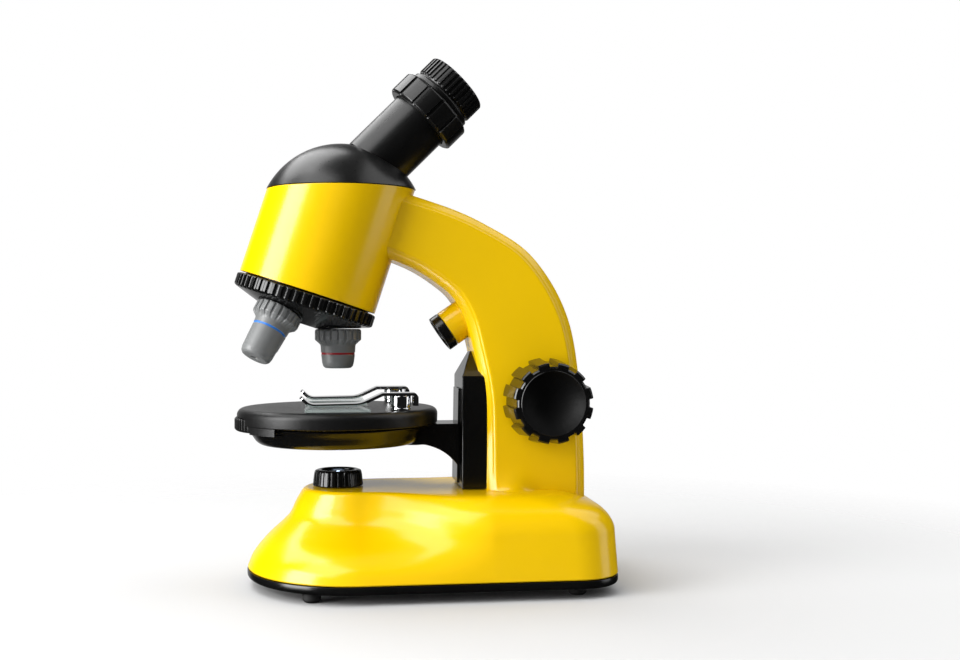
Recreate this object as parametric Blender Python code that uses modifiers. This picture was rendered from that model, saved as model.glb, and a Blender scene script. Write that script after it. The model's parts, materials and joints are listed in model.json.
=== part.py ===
"""Kids microscope: yellow stand with a curved arm, a lifting stage, a turret of three
objectives and an inclined zoom eyepiece.

All sizes below are in millimetres and are turned into metres when a mesh is made.
Every place is counted from the foot of the optical axis, where the light rises from the
lamp in the deck. The toe of the base points to -X, the arm and the heel lie at +X, +Z is
up, and "left" means -Y, the left hand of someone who looks into the eyepiece.
"""
import math

import bmesh
import bpy
from mathutils import Matrix, Vector

MM = 0.001                   # one millimetre in metres
GAP = 0.3                    # air between two pieces that touch
OPTICAL_AXIS_X = -34.68      # puts the middle of the whole object at X = 0

# Base: a black plate on four feet, with a yellow shell over it.
FOOT_HEIGHT, FOOT_RADIUS = 3.8, 3.6
FOOT_X, FOOT_Y = (-10.9, 94.0), 37.0
PLATE_TOP = 7.3
DECK = 40.0
BASE_WALL = 2.2
SHELL_FOOT = PLATE_TOP + GAP
SHOULDER = 24.0              # height where the rear shoulder starts to round over
SKIRT_HALF = 48.0
DECK_REAR_HALF = 28.0
HEEL_X, HEEL_DECK_X = 112.0, 84.5
FRONT_CENTRE_X = 8.0
FLANK_END_X = 62.0
# Height against the X of the toe, and against the half width beside the lamp.
TOE_LINE = ((SHELL_FOOT, -37.2), (13.4, -34.6), (20.4, -28.8), (26.0, -22.8), (29.0, -19.9),
            (35.0, -17.0), (DECK, -13.9))
FLANK_LINE = ((SHELL_FOOT, 48.0), (13.0, 45.6), (18.0, 40.3), (23.0, 32.6), (28.0, 27.0),
              (34.0, 24.2), (DECK, 22.0))
BASE_LEVELS = (SHELL_FOOT, 12.0, 17.0, 22.0, 26.5, 31.0, 35.0, 38.2, DECK)
WALL_LEVELS = (DECK - BASE_WALL, 34.0, 29.0, 22.0, 14.0, SHELL_FOOT)

# Battery bay, seen from below, for two AA cells side by side.
BAY_X, BAY_HALF, BAY_TOP, BAY_WALL = (22.0, 82.0), 19.0, 25.5, 1.6
CELL_RADIUS, CELL_LENGTH, CELL_Y, CELL_Z = 7.1, 49.0, 8.2, 14.6
DOOR_THICKNESS = 2.2

# Light path. The mirror sits at PIVOT, where the stage axis, the turret axis and the
# eyepiece axis meet.
PIVOT_Z = 159.3
TURRET_TILT = 18.0
EYEPIECE_TILT = 45.0

# Lamp in the deck.
LAMP_FOOT_RADIUS, LAMP_TOP_RADIUS, LAMP_BORE, LAMP_TOP = 10.1, 9.4, 6.7, 47.0

# Stage.
STAGE_TOP, STAGE_RADIUS, STAGE_HOLE = 73.0, 41.5, 8.0
RIM_FOOT, BOWL_FOOT = 66.0, 58.1
WHEEL_X, WHEEL_RADIUS, WHEEL_Z = -12.0, 30.5, (63.8, 69.4)
FILTER_RADIUS, FILTER_COUNT = 5.2, 5
CLIP_POST_X, CLIP_Y, CLIP_WIDTH, CLIP_THICKNESS = 24.6, 23.5, 7.5, 1.0
CLIP_POST_RADIUS = 4.0
CLIP_TOP = 79.6
SLIDE_X, SLIDE_HALF, SLIDE_THICKNESS = (-13.6, 11.8), 38.0, 1.1    # glass slide on the stage

# Column and carriage.
COLUMN_FRONT, COLUMN_REAR, COLUMN_HALF = 50.5, 61.0, 14.5
COLUMN_EAVES, COLUMN_RIDGE = 85.8, 96.0
SLOT_HALF, SLOT_Z = 4.0, (45.5, 80.4)
NECK_HALF = 3.5
CARRIAGE_HALF, CARRIAGE_TOP = 9.5, 66.1

# Focus drive: a pinion on the knob shaft lifts a rack on the carriage.
SHAFT_X, SHAFT_Z, SHAFT_RADIUS = 84.1, 76.1, 3.0
GEAR_MODULE, PINION_TEETH, PRESSURE_ANGLE = 1.0, 12, 20.0
GEAR_HALF_WIDTH = 3.4
TOOTH_SLACK = 0.35           # taken off each tooth's thickness at the pitch line
RACK_TEETH = 9
RACK_DROP = 1.5 * math.pi * GEAR_MODULE    # rack middle below the shaft, so a space meets a tooth
KNOB_INNER, KNOB_OUTER = 18.8, 39.2
KNOB_BASE_RADIUS, KNOB_FACE_RADIUS, KNOB_LUGS = 17.6, 16.2, 12

# Arm.
ARM_WALL, ARM_FILLET, ARM_SPLIT = 2.4, 4.6, 0.15
ARM_OUTER_LINE = ((27.0, 161.6), (47.4, 154.9), (61.1, 148.6), (76.0, 139.6), (86.0, 128.4),
                  (93.7, 114.3), (98.1, 98.5), (100.9, 73.6), (102.0, 50.0), (102.0, 30.0))
ARM_INNER_LINE = ((59.8, 30.0), (59.8, 64.0), (58.9, 80.0), (55.7, 96.0), (52.6, 108.0),
                  (48.2, 116.8), (42.1, 122.9), (30.0, 130.6), (12.0, 137.6))
ARM_HALF_AT_DECK, ARM_HALF_AT_HEAD = 17.5, 15.0
ARM_SCREWS = ((74.0, 120.0), (91.0, 52.0))

# Side lamp under the arm, aimed at the middle of the stage.
SIDE_LAMP_FACE, SIDE_LAMP_TILT = (42.6, 0.0, 103.0), 55.06
SIDE_LAMP_RADIUS = 7.86

# Head, dome, turret. Distances along a tilted axis are counted from PIVOT.
HEAD_RADIUS, HEAD_WALL, HEAD_TOP, HEAD_FOOT = 29.2, 2.2, 163.4, -40.6
DOME_RADIUS, DOME_CENTRE, DOME_FLATTEN, DOME_WALL = 34.8, (1.5, 0.0, 147.8), 0.94, 2.2
TURRET_RADIUS, TURRET_TOP, TURRET_FOOT = 29.8, -41.2, -46.8
SEAT_DEPTH = 53.9            # PIVOT to the shoulder of an objective, along its own axis
COLLAR_RADIUS = 9.65
OBJECTIVES = (("red", 0.0, 70.2), ("blue", -120.0, 76.1), ("yellow", 120.0, 73.2))

# Eyepiece, along the inclined axis.
TUBE_RADIUS, TUBE_BORE, TUBE_SPAN = 13.33, 11.6, (20.0, 58.3)
ZOOM_RADIUS, ZOOM_SPAN = 17.0, (48.0, 58.8)
CAP_RADIUS, CAP_SPAN, NECK_RADIUS = 14.2, (62.2, 71.1), 14.6

PART_COLLECTION = "kids_microscope"
CUTTER_COLLECTION = "cutters"


# ---------------------------------------------------------------- scene and materials
def clear_scene():
    for thing in list(bpy.data.objects):
        bpy.data.objects.remove(thing, do_unlink=True)


def make_collection(name):
    group = bpy.data.collections.new(name)
    bpy.context.scene.collection.children.link(group)
    return group


def material(name, colour, roughness, metallic=0.0, alpha=1.0):
    made = bpy.data.materials.new(name)
    made.use_nodes = True
    shader = made.node_tree.nodes["Principled BSDF"]
    shader.inputs["Base Color"].default_value = (*colour, 1.0)
    shader.inputs["Roughness"].default_value = roughness
    shader.inputs["Metallic"].default_value = metallic
    shader.inputs["Alpha"].default_value = alpha
    return made


def make_materials():
    return {
        "yellow": material("yellow_gloss", (0.86, 0.58, 0.01), 0.22),
        "black": material("black_gloss", (0.012, 0.012, 0.012), 0.25),
        "matte": material("black_grained", (0.03, 0.03, 0.03), 0.6),
        "rubber": material("foot_rubber", (0.02, 0.02, 0.02), 0.8),
        "grey": material("objective_grey", (0.22, 0.22, 0.22), 0.35),
        "chrome": material("chrome", (0.75, 0.75, 0.76), 0.1, 1.0),
        "steel": material("steel", (0.5, 0.5, 0.5), 0.35, 1.0),
        "white": material("white_nylon", (0.75, 0.75, 0.7), 0.5),
        "glass": material("glass", (0.85, 0.92, 0.92), 0.05, 0.0, 0.4),
        "mirror": material("mirror", (0.9, 0.9, 0.92), 0.03, 1.0),
        "led": material("led_clear", (0.85, 0.9, 1.0), 0.15),
        "board": material("board_green", (0.02, 0.16, 0.05), 0.5),
        "cell": material("cell_wrap", (0.04, 0.10, 0.20), 0.3),
        "copper": material("wire_red", (0.5, 0.03, 0.02), 0.5),
        "filter_red": material("filter_red", (0.7, 0.03, 0.03), 0.1, 0.0, 0.5),
        "filter_blue": material("filter_blue", (0.03, 0.1, 0.7), 0.1, 0.0, 0.5),
        "filter_green": material("filter_green", (0.03, 0.5, 0.08), 0.1, 0.0, 0.5),
        "filter_yellow": material("filter_yellow", (0.8, 0.6, 0.03), 0.1, 0.0, 0.5),
    }


# ---------------------------------------------------------------- small geometry helpers
def polar(radius, degrees):
    angle = math.radians(degrees)
    return radius * math.cos(angle), radius * math.sin(angle)


def smooth_through(points, per_span):
    """Points of a smooth curve that passes through the given ones (Catmull-Rom)."""
    ends = (points[0], *points, points[-1])
    line = []
    for before, start, stop, after in zip(ends, ends[1:], ends[2:], ends[3:]):
        for step in range(per_span):
            t = step / per_span
            line.append(tuple(
                0.5 * (2 * b + (c - a) * t + (2 * a - 5 * b + 4 * c - d) * t ** 2
                       + (3 * b - a - 3 * c + d) * t ** 3)
                for a, b, c, d in zip(before, start, stop, after)))
    line.append(tuple(points[-1]))
    return line


def value_at(table, height):
    """Smooth reading of a (height, value) table, level at both ends."""
    if height <= table[0][0]:
        return table[0][1]
    for index in range(len(table) - 1):
        (low, start), (high, stop) = table[index], table[index + 1]
        if height <= high:
            before = table[max(index - 1, 0)]
            after = table[min(index + 2, len(table) - 1)]
            slope_in = (stop - before[1]) / (high - before[0])
            slope_out = (after[1] - start) / (after[0] - low)
            t = (height - low) / (high - low)
            span = high - low
            return ((2 * t ** 3 - 3 * t ** 2 + 1) * start + (t ** 3 - 2 * t ** 2 + t) * span * slope_in
                    + (3 * t ** 2 - 2 * t ** 3) * stop + (t ** 3 - t ** 2) * span * slope_out)
    return table[-1][1]


def inset(outline, distance):
    """Move each corner of a closed outline to its inner side; the outline runs clockwise."""
    moved = []
    count = len(outline)
    for index, corner in enumerate(outline):
        before = Vector(outline[index - 1])
        here = Vector(corner)
        after = Vector(outline[(index + 1) % count])
        into = (here - before).normalized()
        out = (after - here).normalized()
        normal = Vector((into.y + out.y, -into.x - out.x))
        if normal.length < 1e-9:
            normal = Vector((into.y, -into.x))
        normal.normalize()
        reach = distance / max(0.35, normal.dot(Vector((into.y, -into.x))))
        moved.append(tuple(here + normal * reach))
    return moved


# ---------------------------------------------------------------- object makers
class Workshop:
    """Keeps the collections, the materials and the frame that everything stands in."""

    def __init__(self):
        clear_scene()
        self.parts = make_collection(PART_COLLECTION)
        self.cutters = make_collection(CUTTER_COLLECTION)
        self.finish = make_materials()
        self.frame = self.empty("stand_frame", None, (OPTICAL_AXIS_X, 0, 0))

    def empty(self, name, parent, at, turn=(0, 0, 0)):
        guide = bpy.data.objects.new(name, None)
        self.cutters.objects.link(guide)
        self.place(guide, parent, at, turn)
        return guide

    @staticmethod
    def place(thing, parent, at, turn):
        thing.parent = parent
        thing.location = Vector(at) * MM
        thing.rotation_euler = [math.radians(degrees) for degrees in turn]

    def part(self, name, mesh, finish, parent=None, at=(0, 0, 0), turn=(0, 0, 0)):
        made = bpy.data.objects.new(name, mesh)
        self.parts.objects.link(made)
        mesh.materials.append(self.finish[finish])
        self.place(made, parent or self.frame, at, turn)
        return made

    def guide(self, name, mesh, parent=None, at=(0, 0, 0), turn=(0, 0, 0)):
        made = bpy.data.objects.new(name, mesh)
        self.cutters.objects.link(made)
        made.hide_render = True
        made.display_type = "WIRE"
        self.place(made, parent or self.frame, at, turn)
        return made


def mesh_from(bm, name, smooth_angle=35.0):
    bmesh.ops.scale(bm, vec=(MM, MM, MM), verts=bm.verts)
    mesh = bpy.data.meshes.new(name)
    bm.to_mesh(mesh)
    bm.free()
    mesh.shade_smooth()
    mesh.set_sharp_from_angle(angle=math.radians(smooth_angle))
    return mesh


def box_mesh(low, high):
    bm = bmesh.new()
    size = Vector(high) - Vector(low)
    centre = (Vector(high) + Vector(low)) / 2
    bmesh.ops.create_cube(bm, size=1.0, matrix=Matrix.Translation(centre) @ Matrix.Diagonal((*size, 1.0)))
    return mesh_from(bm, "box")


def rod_mesh(radius, low, high, segments=24):
    """Cylinder along Z from low to high."""
    bm = bmesh.new()
    bmesh.ops.create_cone(bm, cap_ends=True, segments=segments, radius1=radius, radius2=radius,
                          depth=high - low, matrix=Matrix.Translation((0, 0, (low + high) / 2)))
    return mesh_from(bm, "rod")


def loft_mesh(rings, closed_tube=False):
    """Skin over rings of equal point count; the ends are capped, or joined for a tube."""
    bm = bmesh.new()
    rows = [[bm.verts.new(point) for point in ring] for ring in rings]
    pairs = list(zip(rows, rows[1:]))
    if closed_tube:
        pairs.append((rows[-1], rows[0]))
    else:
        bm.faces.new(rows[0])
        bm.faces.new(list(reversed(rows[-1])))
    for lower, upper in pairs:
        count = len(lower)
        for index in range(count):
            following = (index + 1) % count
            bm.faces.new((lower[index], lower[following], upper[following], upper[index]))
    bmesh.ops.recalc_face_normals(bm, faces=bm.faces)
    return mesh_from(bm, "loft")


def turned_mesh(profile, ring=False):
    """Edge line of (radius, height) points for a Screw modifier to sweep."""
    mesh = bpy.data.meshes.new("profile")
    points = [(radius * MM, 0.0, height * MM) for radius, height in profile]
    edges = [(index, index + 1) for index in range(len(points) - 1)]
    if ring:
        edges.append((len(points) - 1, 0))
    mesh.from_pydata(points, edges, [])
    return mesh


def spin(thing, steps=32):
    """Sweep a profile line once round the object's own Z axis."""
    screw = thing.modifiers.new("turn", "SCREW")
    screw.axis = "Z"
    screw.angle = math.tau
    screw.steps = steps
    screw.render_steps = steps
    screw.use_merge_vertices = True
    screw.merge_threshold = 0.00001
    screw.use_smooth_shade = True
    return thing


def prism_mesh(outline, half_thickness):
    """Flat outline in XY, thickened both ways along Z."""
    curve = bpy.data.curves.new("outline", "CURVE")
    curve.dimensions = "2D"
    curve.fill_mode = "BOTH"
    curve.extrude = half_thickness * MM
    spline = curve.splines.new("POLY")
    spline.points.add(len(outline) - 1)
    for point, (x, y) in zip(spline.points, outline):
        point.co = (x * MM, y * MM, 0.0, 1.0)
    spline.use_cyclic_u = True
    return curve_to_mesh(curve)


def wire_curve(points, radius, sides_level=2):
    """Round wire through the given points, with filled ends."""
    curve = bpy.data.curves.new("wire", "CURVE")
    curve.dimensions = "3D"
    curve.bevel_depth = radius * MM
    curve.bevel_resolution = sides_level
    curve.use_fill_caps = True
    spline = curve.splines.new("POLY")
    spline.points.add(len(points) - 1)
    for point, place in zip(spline.points, points):
        point.co = (*(Vector(place) * MM), 1.0)
    return curve


def curve_to_mesh(curve):
    holder = bpy.data.objects.new("curve_holder", curve)
    bpy.context.scene.collection.objects.link(holder)
    seen = holder.evaluated_get(bpy.context.evaluated_depsgraph_get())
    mesh = bpy.data.meshes.new_from_object(seen)
    bpy.data.objects.remove(holder, do_unlink=True)
    bm = bmesh.new()
    bm.from_mesh(mesh)
    bmesh.ops.remove_doubles(bm, verts=bm.verts, dist=1e-6)
    bmesh.ops.recalc_face_normals(bm, faces=bm.faces)
    bm.to_mesh(mesh)
    bm.free()
    return mesh


def boolean(target, tool, operation):
    step = target.modifiers.new(operation.lower(), "BOOLEAN")
    step.operation = operation
    step.solver = "EXACT"
    step.object = tool
    return target


def cut(target, tool):
    return boolean(target, tool, "DIFFERENCE")


def join(target, tool):
    return boolean(target, tool, "UNION")


# ---------------------------------------------------------------- base
def rounded_quarter(span, swell):
    """Height share of a quarter ellipse at a share of its run."""
    return math.sqrt(max(0.0, 1.0 - span ** swell))


def base_outline(height, grow=0.0):
    """Plan of the base at a height: a wide rounded toe, flaring flanks and a square heel.

    grow moves the outline outwards; it is negative for the inner side of the wall.
    """
    toe = value_at(TOE_LINE, height) - grow
    flank = value_at(FLANK_LINE, height) + grow
    rise = max(0.0, (height - SHOULDER) / (DECK - SHOULDER))
    drop = rounded_quarter(min(1.0, rise), 2.0)
    lean = 1.6 * (min(height, SHOULDER) - SHELL_FOOT) / (SHOULDER - SHELL_FOOT)
    rear = DECK_REAR_HALF + (SKIRT_HALF - lean - DECK_REAR_HALF) * drop + grow
    heel = HEEL_DECK_X + (HEEL_X - 0.6 * lean - HEEL_DECK_X) * drop + grow
    corner = 20.0 + grow
    side = []
    for step in range(8):
        x_share, y_share = polar(1.0, 180.0 - 90.0 * step / 8)
        side.append((FRONT_CENTRE_X + (FRONT_CENTRE_X - toe) * x_share, -flank * y_share))
    for step in range(6):
        t = step / 5
        ease = t * t * (3 - 2 * t)
        side.append((FRONT_CENTRE_X + (FLANK_END_X - FRONT_CENTRE_X) * t, -(flank + (rear - flank) * ease)))
    for step in range(7):
        x_share, y_share = polar(1.0, 90.0 - 90.0 * step / 6)
        side.append((heel - corner + corner * x_share ** 0.9, -(rear - corner + corner * y_share ** 0.9)))
    side[0] = (toe, 0.0)
    far = [(x, -y) for x, y in reversed(side[1:])]
    return side + far


def base_rings(levels, grow=0.0):
    return [[(x, y, height) for x, y in base_outline(height, grow)] for height in levels]


def make_base_shell(shop):
    outer = base_rings(BASE_LEVELS)
    inner = base_rings(WALL_LEVELS, -BASE_WALL)
    shell = shop.part("base_shell", loft_shell_mesh(outer, inner), "yellow")
    cut(shell, shop.guide("lamp_wire_hole", rod_mesh(4.0, DECK - 6, DECK + 6)))
    cut(shell, shop.guide("arm_wire_hole", box_mesh((66, -5, DECK - 6), (80, 5, DECK + 6))))
    cut(shell, shop.guide("switch_window", box_mesh((106, -4.7, 14.6), (116, 4.7, 19.4))))
    return shell


def loft_shell_mesh(outer, inner):
    """Open-bottomed shell: outer skin going up, its roof, inner roof, inner skin going down."""
    bm = bmesh.new()
    rows = [[bm.verts.new(point) for point in ring] for ring in outer + inner]
    turning = len(outer)
    for index, (lower, upper) in enumerate(zip(rows, rows[1:] + rows[:1])):
        if index == turning - 1:
            bm.faces.new(lower)
            bm.faces.new(upper)
            continue
        count = len(lower)
        for spot in range(count):
            following = (spot + 1) % count
            bm.faces.new((lower[spot], lower[following], upper[following], upper[spot]))
    bmesh.ops.recalc_face_normals(bm, faces=bm.faces)
    return mesh_from(bm, "shell")


def make_base_plate(shop):
    bottom = [(x, y, FOOT_HEIGHT) for x, y in base_outline(SHELL_FOOT, -1.2)]
    edge = [(x, y, FOOT_HEIGHT + 1.1) for x, y in base_outline(SHELL_FOOT, 0.0)]
    top = [(x, y, PLATE_TOP) for x, y in base_outline(SHELL_FOOT, 0.0)]
    plate = shop.part("base_plate", loft_mesh([bottom, edge, top]), "black")
    join(plate, shop.guide("bay_block", box_mesh((BAY_X[0], -BAY_HALF, FOOT_HEIGHT + 1),
                                                 (BAY_X[1], BAY_HALF, BAY_TOP))))
    cut(plate, shop.guide("bay_hollow", box_mesh(
        (BAY_X[0] + BAY_WALL, BAY_WALL - BAY_HALF, FOOT_HEIGHT - 2),
        (BAY_X[1] - BAY_WALL, BAY_HALF - BAY_WALL, BAY_TOP - BAY_WALL))))
    join(plate, shop.guide("door_boss", box_mesh((72.4, -4, 6.4), (BAY_X[1] - 1, 4, 8.0))))
    cut(plate, shop.guide("door_screw_bore", rod_mesh(1.6, 5, 12, 12), at=(76.5, 0, 0)))
    for index, (x, y) in enumerate(foot_places()):
        cut(plate, shop.guide(f"foot_socket_{index}", rod_mesh(2.0, 2, 6, 12), at=(x, y, 0)))
    return plate


def foot_places():
    return [(x, y) for x in FOOT_X for y in (-FOOT_Y, FOOT_Y)]


def make_feet(shop):
    profile = ((0, 5.5), (1.7, 5.5), (1.7, FOOT_HEIGHT - GAP), (FOOT_RADIUS, FOOT_HEIGHT - GAP),
               (FOOT_RADIUS, 0.8), (FOOT_RADIUS - 0.7, 0), (0, 0))
    names = ("foot_front_left", "foot_front_right", "foot_rear_left", "foot_rear_right")
    for name, (x, y) in zip(names, foot_places()):
        spin(shop.part(name, turned_mesh(profile), "rubber", at=(x, y, 0)), 14)


def make_battery_set(shop):
    door_low = (BAY_X[0] + BAY_WALL + GAP, BAY_WALL + GAP - BAY_HALF, FOOT_HEIGHT)
    door_high = (BAY_X[1] - BAY_WALL - GAP, BAY_HALF - BAY_WALL - GAP, FOOT_HEIGHT + DOOR_THICKNESS)
    door = shop.part("battery_door", box_mesh(door_low, door_high), "black")
    cut(door, shop.guide("door_screw_hole", rod_mesh(1.8, 0, 9, 12), at=(76.5, 0, 0)))
    cut(door, shop.guide("door_screw_sink", rod_mesh(3.4, 0, 4.9, 16), at=(76.5, 0, 0)))
    screw = ((0, 7.9), (1.3, 7.9), (1.3, 4.6), (3.0, 4.6), (3.0, 3.9), (0, 3.9))
    spin(shop.part("battery_door_screw", turned_mesh(screw), "steel", at=(76.5, 0, 0)), 12)
    cell = ((0, CELL_LENGTH + 1.3), (2.6, CELL_LENGTH + 1.3), (2.6, CELL_LENGTH),
            (CELL_RADIUS, CELL_LENGTH - 0.6), (CELL_RADIUS, 0.4), (CELL_RADIUS - 0.6, 0), (0, 0))
    cell_start = BAY_X[0] + BAY_WALL + 2.0
    spin(shop.part("battery_left", turned_mesh(cell), "cell",
                   at=(cell_start + CELL_LENGTH + 1.3, -CELL_Y, CELL_Z), turn=(0, -90, 0)), 12)
    spin(shop.part("battery_right", turned_mesh(cell), "cell", at=(cell_start, CELL_Y, CELL_Z),
                   turn=(0, 90, 0)), 12)


def make_battery_spring(shop):
    """One bent wire: a straight run behind the right cell, then a coil behind the left one."""
    turns, radius, length, taper, wire = 3, 4.2, 2.4, 0.9, 0.3
    steps = turns * 6
    start = BAY_X[1] - BAY_WALL - GAP - wire
    points = [(start, CELL_Y + radius, CELL_Z)]
    for step in range(steps + 1):
        share = step / steps
        y, z = polar(radius - taper * share, 360.0 * turns * share)
        points.append((start - length * share, y - CELL_Y, z + CELL_Z))
    mesh = curve_to_mesh(wire_curve(points, wire, 1))
    shop.part("battery_spring", mesh, "steel")


def make_electrics(shop):
    shop.part("circuit_board", box_mesh((84.5, -18, 10.9), (105.5, 18, 12.5)), "board")
    shop.part("switch_body", box_mesh((97.5, -7, 12.8), (105.8, 7, 21.0)), "black")
    slider = shop.part("switch_slider", box_mesh((107.0, -3.6, 13.4), (108.4, 3.6, 20.6)), "black")
    join(slider, shop.guide("slider_knob", box_mesh((108.0, -2.2, 15.0), (111.5, 2.2, 19.0))))
    join(slider, shop.guide("slider_stem", box_mesh((106.2, -1.0, 16.0), (107.5, 1.0, 18.0))))


def make_deck_lamp(shop):
    ring = ((LAMP_BORE, LAMP_TOP), (LAMP_TOP_RADIUS - 0.9, LAMP_TOP), (LAMP_TOP_RADIUS, LAMP_TOP - 0.8),
            (LAMP_FOOT_RADIUS, DECK + GAP), (LAMP_BORE, DECK + GAP))
    spin(shop.part("lamp_housing", turned_mesh(ring, ring=True), "black"), 24)
    lens = ((0, 44.6), (LAMP_BORE - GAP, 44.0), (LAMP_BORE - GAP, 43.0), (0, 43.0))
    spin(shop.part("lamp_lens", turned_mesh(lens), "glass"), 16)
    spin(shop.part("lamp_led", turned_mesh(led_profile(34.0, 42.4)), "led"), 12)


def led_profile(foot, tip):
    """A 5 mm LED: flange at the foot and a domed tip."""
    return ((0, tip), (1.5, tip - 0.5), (2.5, tip - 2.4), (2.5, foot + 1.0), (2.9, foot + 1.0),
            (2.9, foot), (0, foot))


# ---------------------------------------------------------------- arm
def arm_outline():
    """Side view of the arm in X and Z, clockwise: over the back, down, and up the front."""
    return smooth_through(ARM_OUTER_LINE, 2) + smooth_through(ARM_INNER_LINE, 2)


def arm_half(height):
    share = (height - DECK) / (HEAD_TOP - DECK)
    return ARM_HALF_AT_DECK + (ARM_HALF_AT_HEAD - ARM_HALF_AT_DECK) * share


def arm_rings(side, grow=0.0):
    """Outlines from the split plane out to the flat side, with the edge rounded off."""
    outline = arm_outline()
    rings = [[(x, side * ARM_SPLIT, z) for x, z in inset(outline, -grow)]]
    for turn in (0.0, 45.0, 90.0):
        across, along = polar(ARM_FILLET, turn)
        shape = inset(outline, ARM_FILLET - across - grow)
        rings.append([(x, side * (arm_half(z) - ARM_FILLET + along + grow), z) for x, z in shape])
    return rings


def side_lamp_axis(shop):
    return shop.empty("side_lamp_axis", shop.frame, SIDE_LAMP_FACE, (0, SIDE_LAMP_TILT, 0))


def make_arm_half(shop, name, side, lamp_axis, head_blank, base_blank):
    half = shop.part(name, loft_mesh(arm_rings(side)), "yellow")
    label = "left" if side < 0 else "right"
    foot = [(side * 12.0, 30.0), (side * 12.0, 50.0), (side * 17.2, 50.0)]
    for step in range(6):
        run, rise = polar(1.0, 18.0 * step)
        foot.append((side * (25.6 - 8.2 * run), 50.0 - 9.7 * rise))
    foot.append((side * 25.6, 30.0))
    flare = [[(x, y, z) for y, z in foot] for x in (61.2, 98.6)]
    join(half, shop.guide(f"foot_flare_{label}", loft_mesh(flare)))
    stub = shop.guide(f"lamp_stub_{label}", rod_mesh(SIDE_LAMP_RADIUS - 0.1, 4.2, 22.0, 24), lamp_axis)
    keep = box_mesh((0, min(ARM_SPLIT * side, 30 * side), 60), (120, max(ARM_SPLIT * side, 30 * side), 140))
    boolean(stub, shop.guide(f"stub_half_{label}", keep), "INTERSECT")
    join(half, stub)
    hollow = inset(arm_outline(), ARM_WALL)
    depth = [[(x, side * y, z) for x, z in hollow] for y in (-1.0, ARM_HALF_AT_HEAD - ARM_WALL)]
    cut(half, shop.guide(f"arm_hollow_{label}", loft_mesh(depth)))
    for index, (x, z) in enumerate(ARM_SCREWS):
        post = rod_mesh(3.6, 0.4, ARM_HALF_AT_HEAD - 1.0, 16)
        join(half, shop.guide(f"screw_post_{label}_{index}", post, at=(x, 0, z), turn=(-90 * side, 0, 0)))
        low, high = (0.2, 11.0) if side < 0 else (-1.0, 22.0)
        bore = rod_mesh(1.9, low, high, 12)
        cut(half, shop.guide(f"screw_bore_{label}_{index}", bore, at=(x, 0, z), turn=(-90 * side, 0, 0)))
        if side > 0:
            sink = rod_mesh(3.3, 13.2, 22.0, 16)
            cut(half, shop.guide(f"screw_sink_{index}", sink, at=(x, 0, z), turn=(-90, 0, 0)))
    cut(half, shop.guide(f"shaft_hole_{label}", rod_mesh(SHAFT_RADIUS + GAP, 8, 24, 24),
                         at=(SHAFT_X, 0, SHAFT_Z), turn=(-90 * side, 0, 0)))
    cut(half, shop.guide(f"neck_slot_{label}", box_mesh((54, -4.2, 44.5), (66, 4.2, 84.5))))
    cut(half, shop.guide(f"lamp_bore_{label}", rod_mesh(5.5, -2, 24, 20), lamp_axis))
    cut(half, head_blank)
    cut(half, base_blank)
    return half


def make_arm(shop, lamp_axis, head_blank):
    grown = base_rings((2.0, *BASE_LEVELS[1:-1], DECK + GAP), GAP)
    base_blank = shop.guide("base_blank", loft_mesh(grown))
    make_arm_half(shop, "arm_left_half", -1, lamp_axis, head_blank, base_blank)
    make_arm_half(shop, "arm_right_half", 1, lamp_axis, head_blank, base_blank)
    screw = ((0, 15.3), (2.6, 14.9), (3.0, 13.5), (1.5, 13.5), (1.5, -9.0), (0, -9.6))
    for name, (x, z) in zip(("arm_screw_upper", "arm_screw_lower"), ARM_SCREWS):
        spin(shop.part(name, turned_mesh(screw), "steel", at=(x, 0, z), turn=(-90, 0, 0)), 12)


def make_column(shop):
    half = COLUMN_HALF
    rings = []
    for height, front, back, width in ((DECK + GAP, COLUMN_FRONT, COLUMN_REAR, half),
                                       (COLUMN_EAVES, COLUMN_FRONT, COLUMN_REAR, half),
                                       (COLUMN_RIDGE, 55.0, 57.5, 3.5)):
        rings.append([(front, -width, height), (back, -width, height), (back, width, height),
                      (front, width, height)])
    cover = shop.part("column_cover", loft_mesh(rings), "black")
    hollow = box_mesh((COLUMN_FRONT + 2, 2 - half, 42.5), (66, half - 2, 84.0))
    cut(cover, shop.guide("column_hollow", hollow))
    cut(cover, shop.guide("column_slot", box_mesh((46, -SLOT_HALF, SLOT_Z[0]), (56, SLOT_HALF, SLOT_Z[1]))))
    blank = [[(x, y, z) for x, z in inset(arm_outline(), -GAP)] for y in (-20.0, 20.0)]
    cut(cover, shop.guide("arm_front_blank", loft_mesh(blank)))


def make_side_lamp(shop, axis):
    ring = ((6.2, 3.9), (SIDE_LAMP_RADIUS, 3.9), (SIDE_LAMP_RADIUS, 0.5), (SIDE_LAMP_RADIUS - 0.5, 0),
            (6.2, 0))
    spin(shop.part("side_lamp_bezel", turned_mesh(ring, ring=True), "black", axis), 20)
    lens = ((0, 2.2), (5.9, 2.2), (5.9, 1.4), (0, 0.8))
    spin(shop.part("side_lamp_lens", turned_mesh(lens), "glass", axis), 16)
    led = [(radius, 15.0 - height) for radius, height in led_profile(3.6, 12.0)]
    spin(shop.part("side_lamp_led", turned_mesh(list(reversed(led))), "led", axis), 12)


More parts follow.
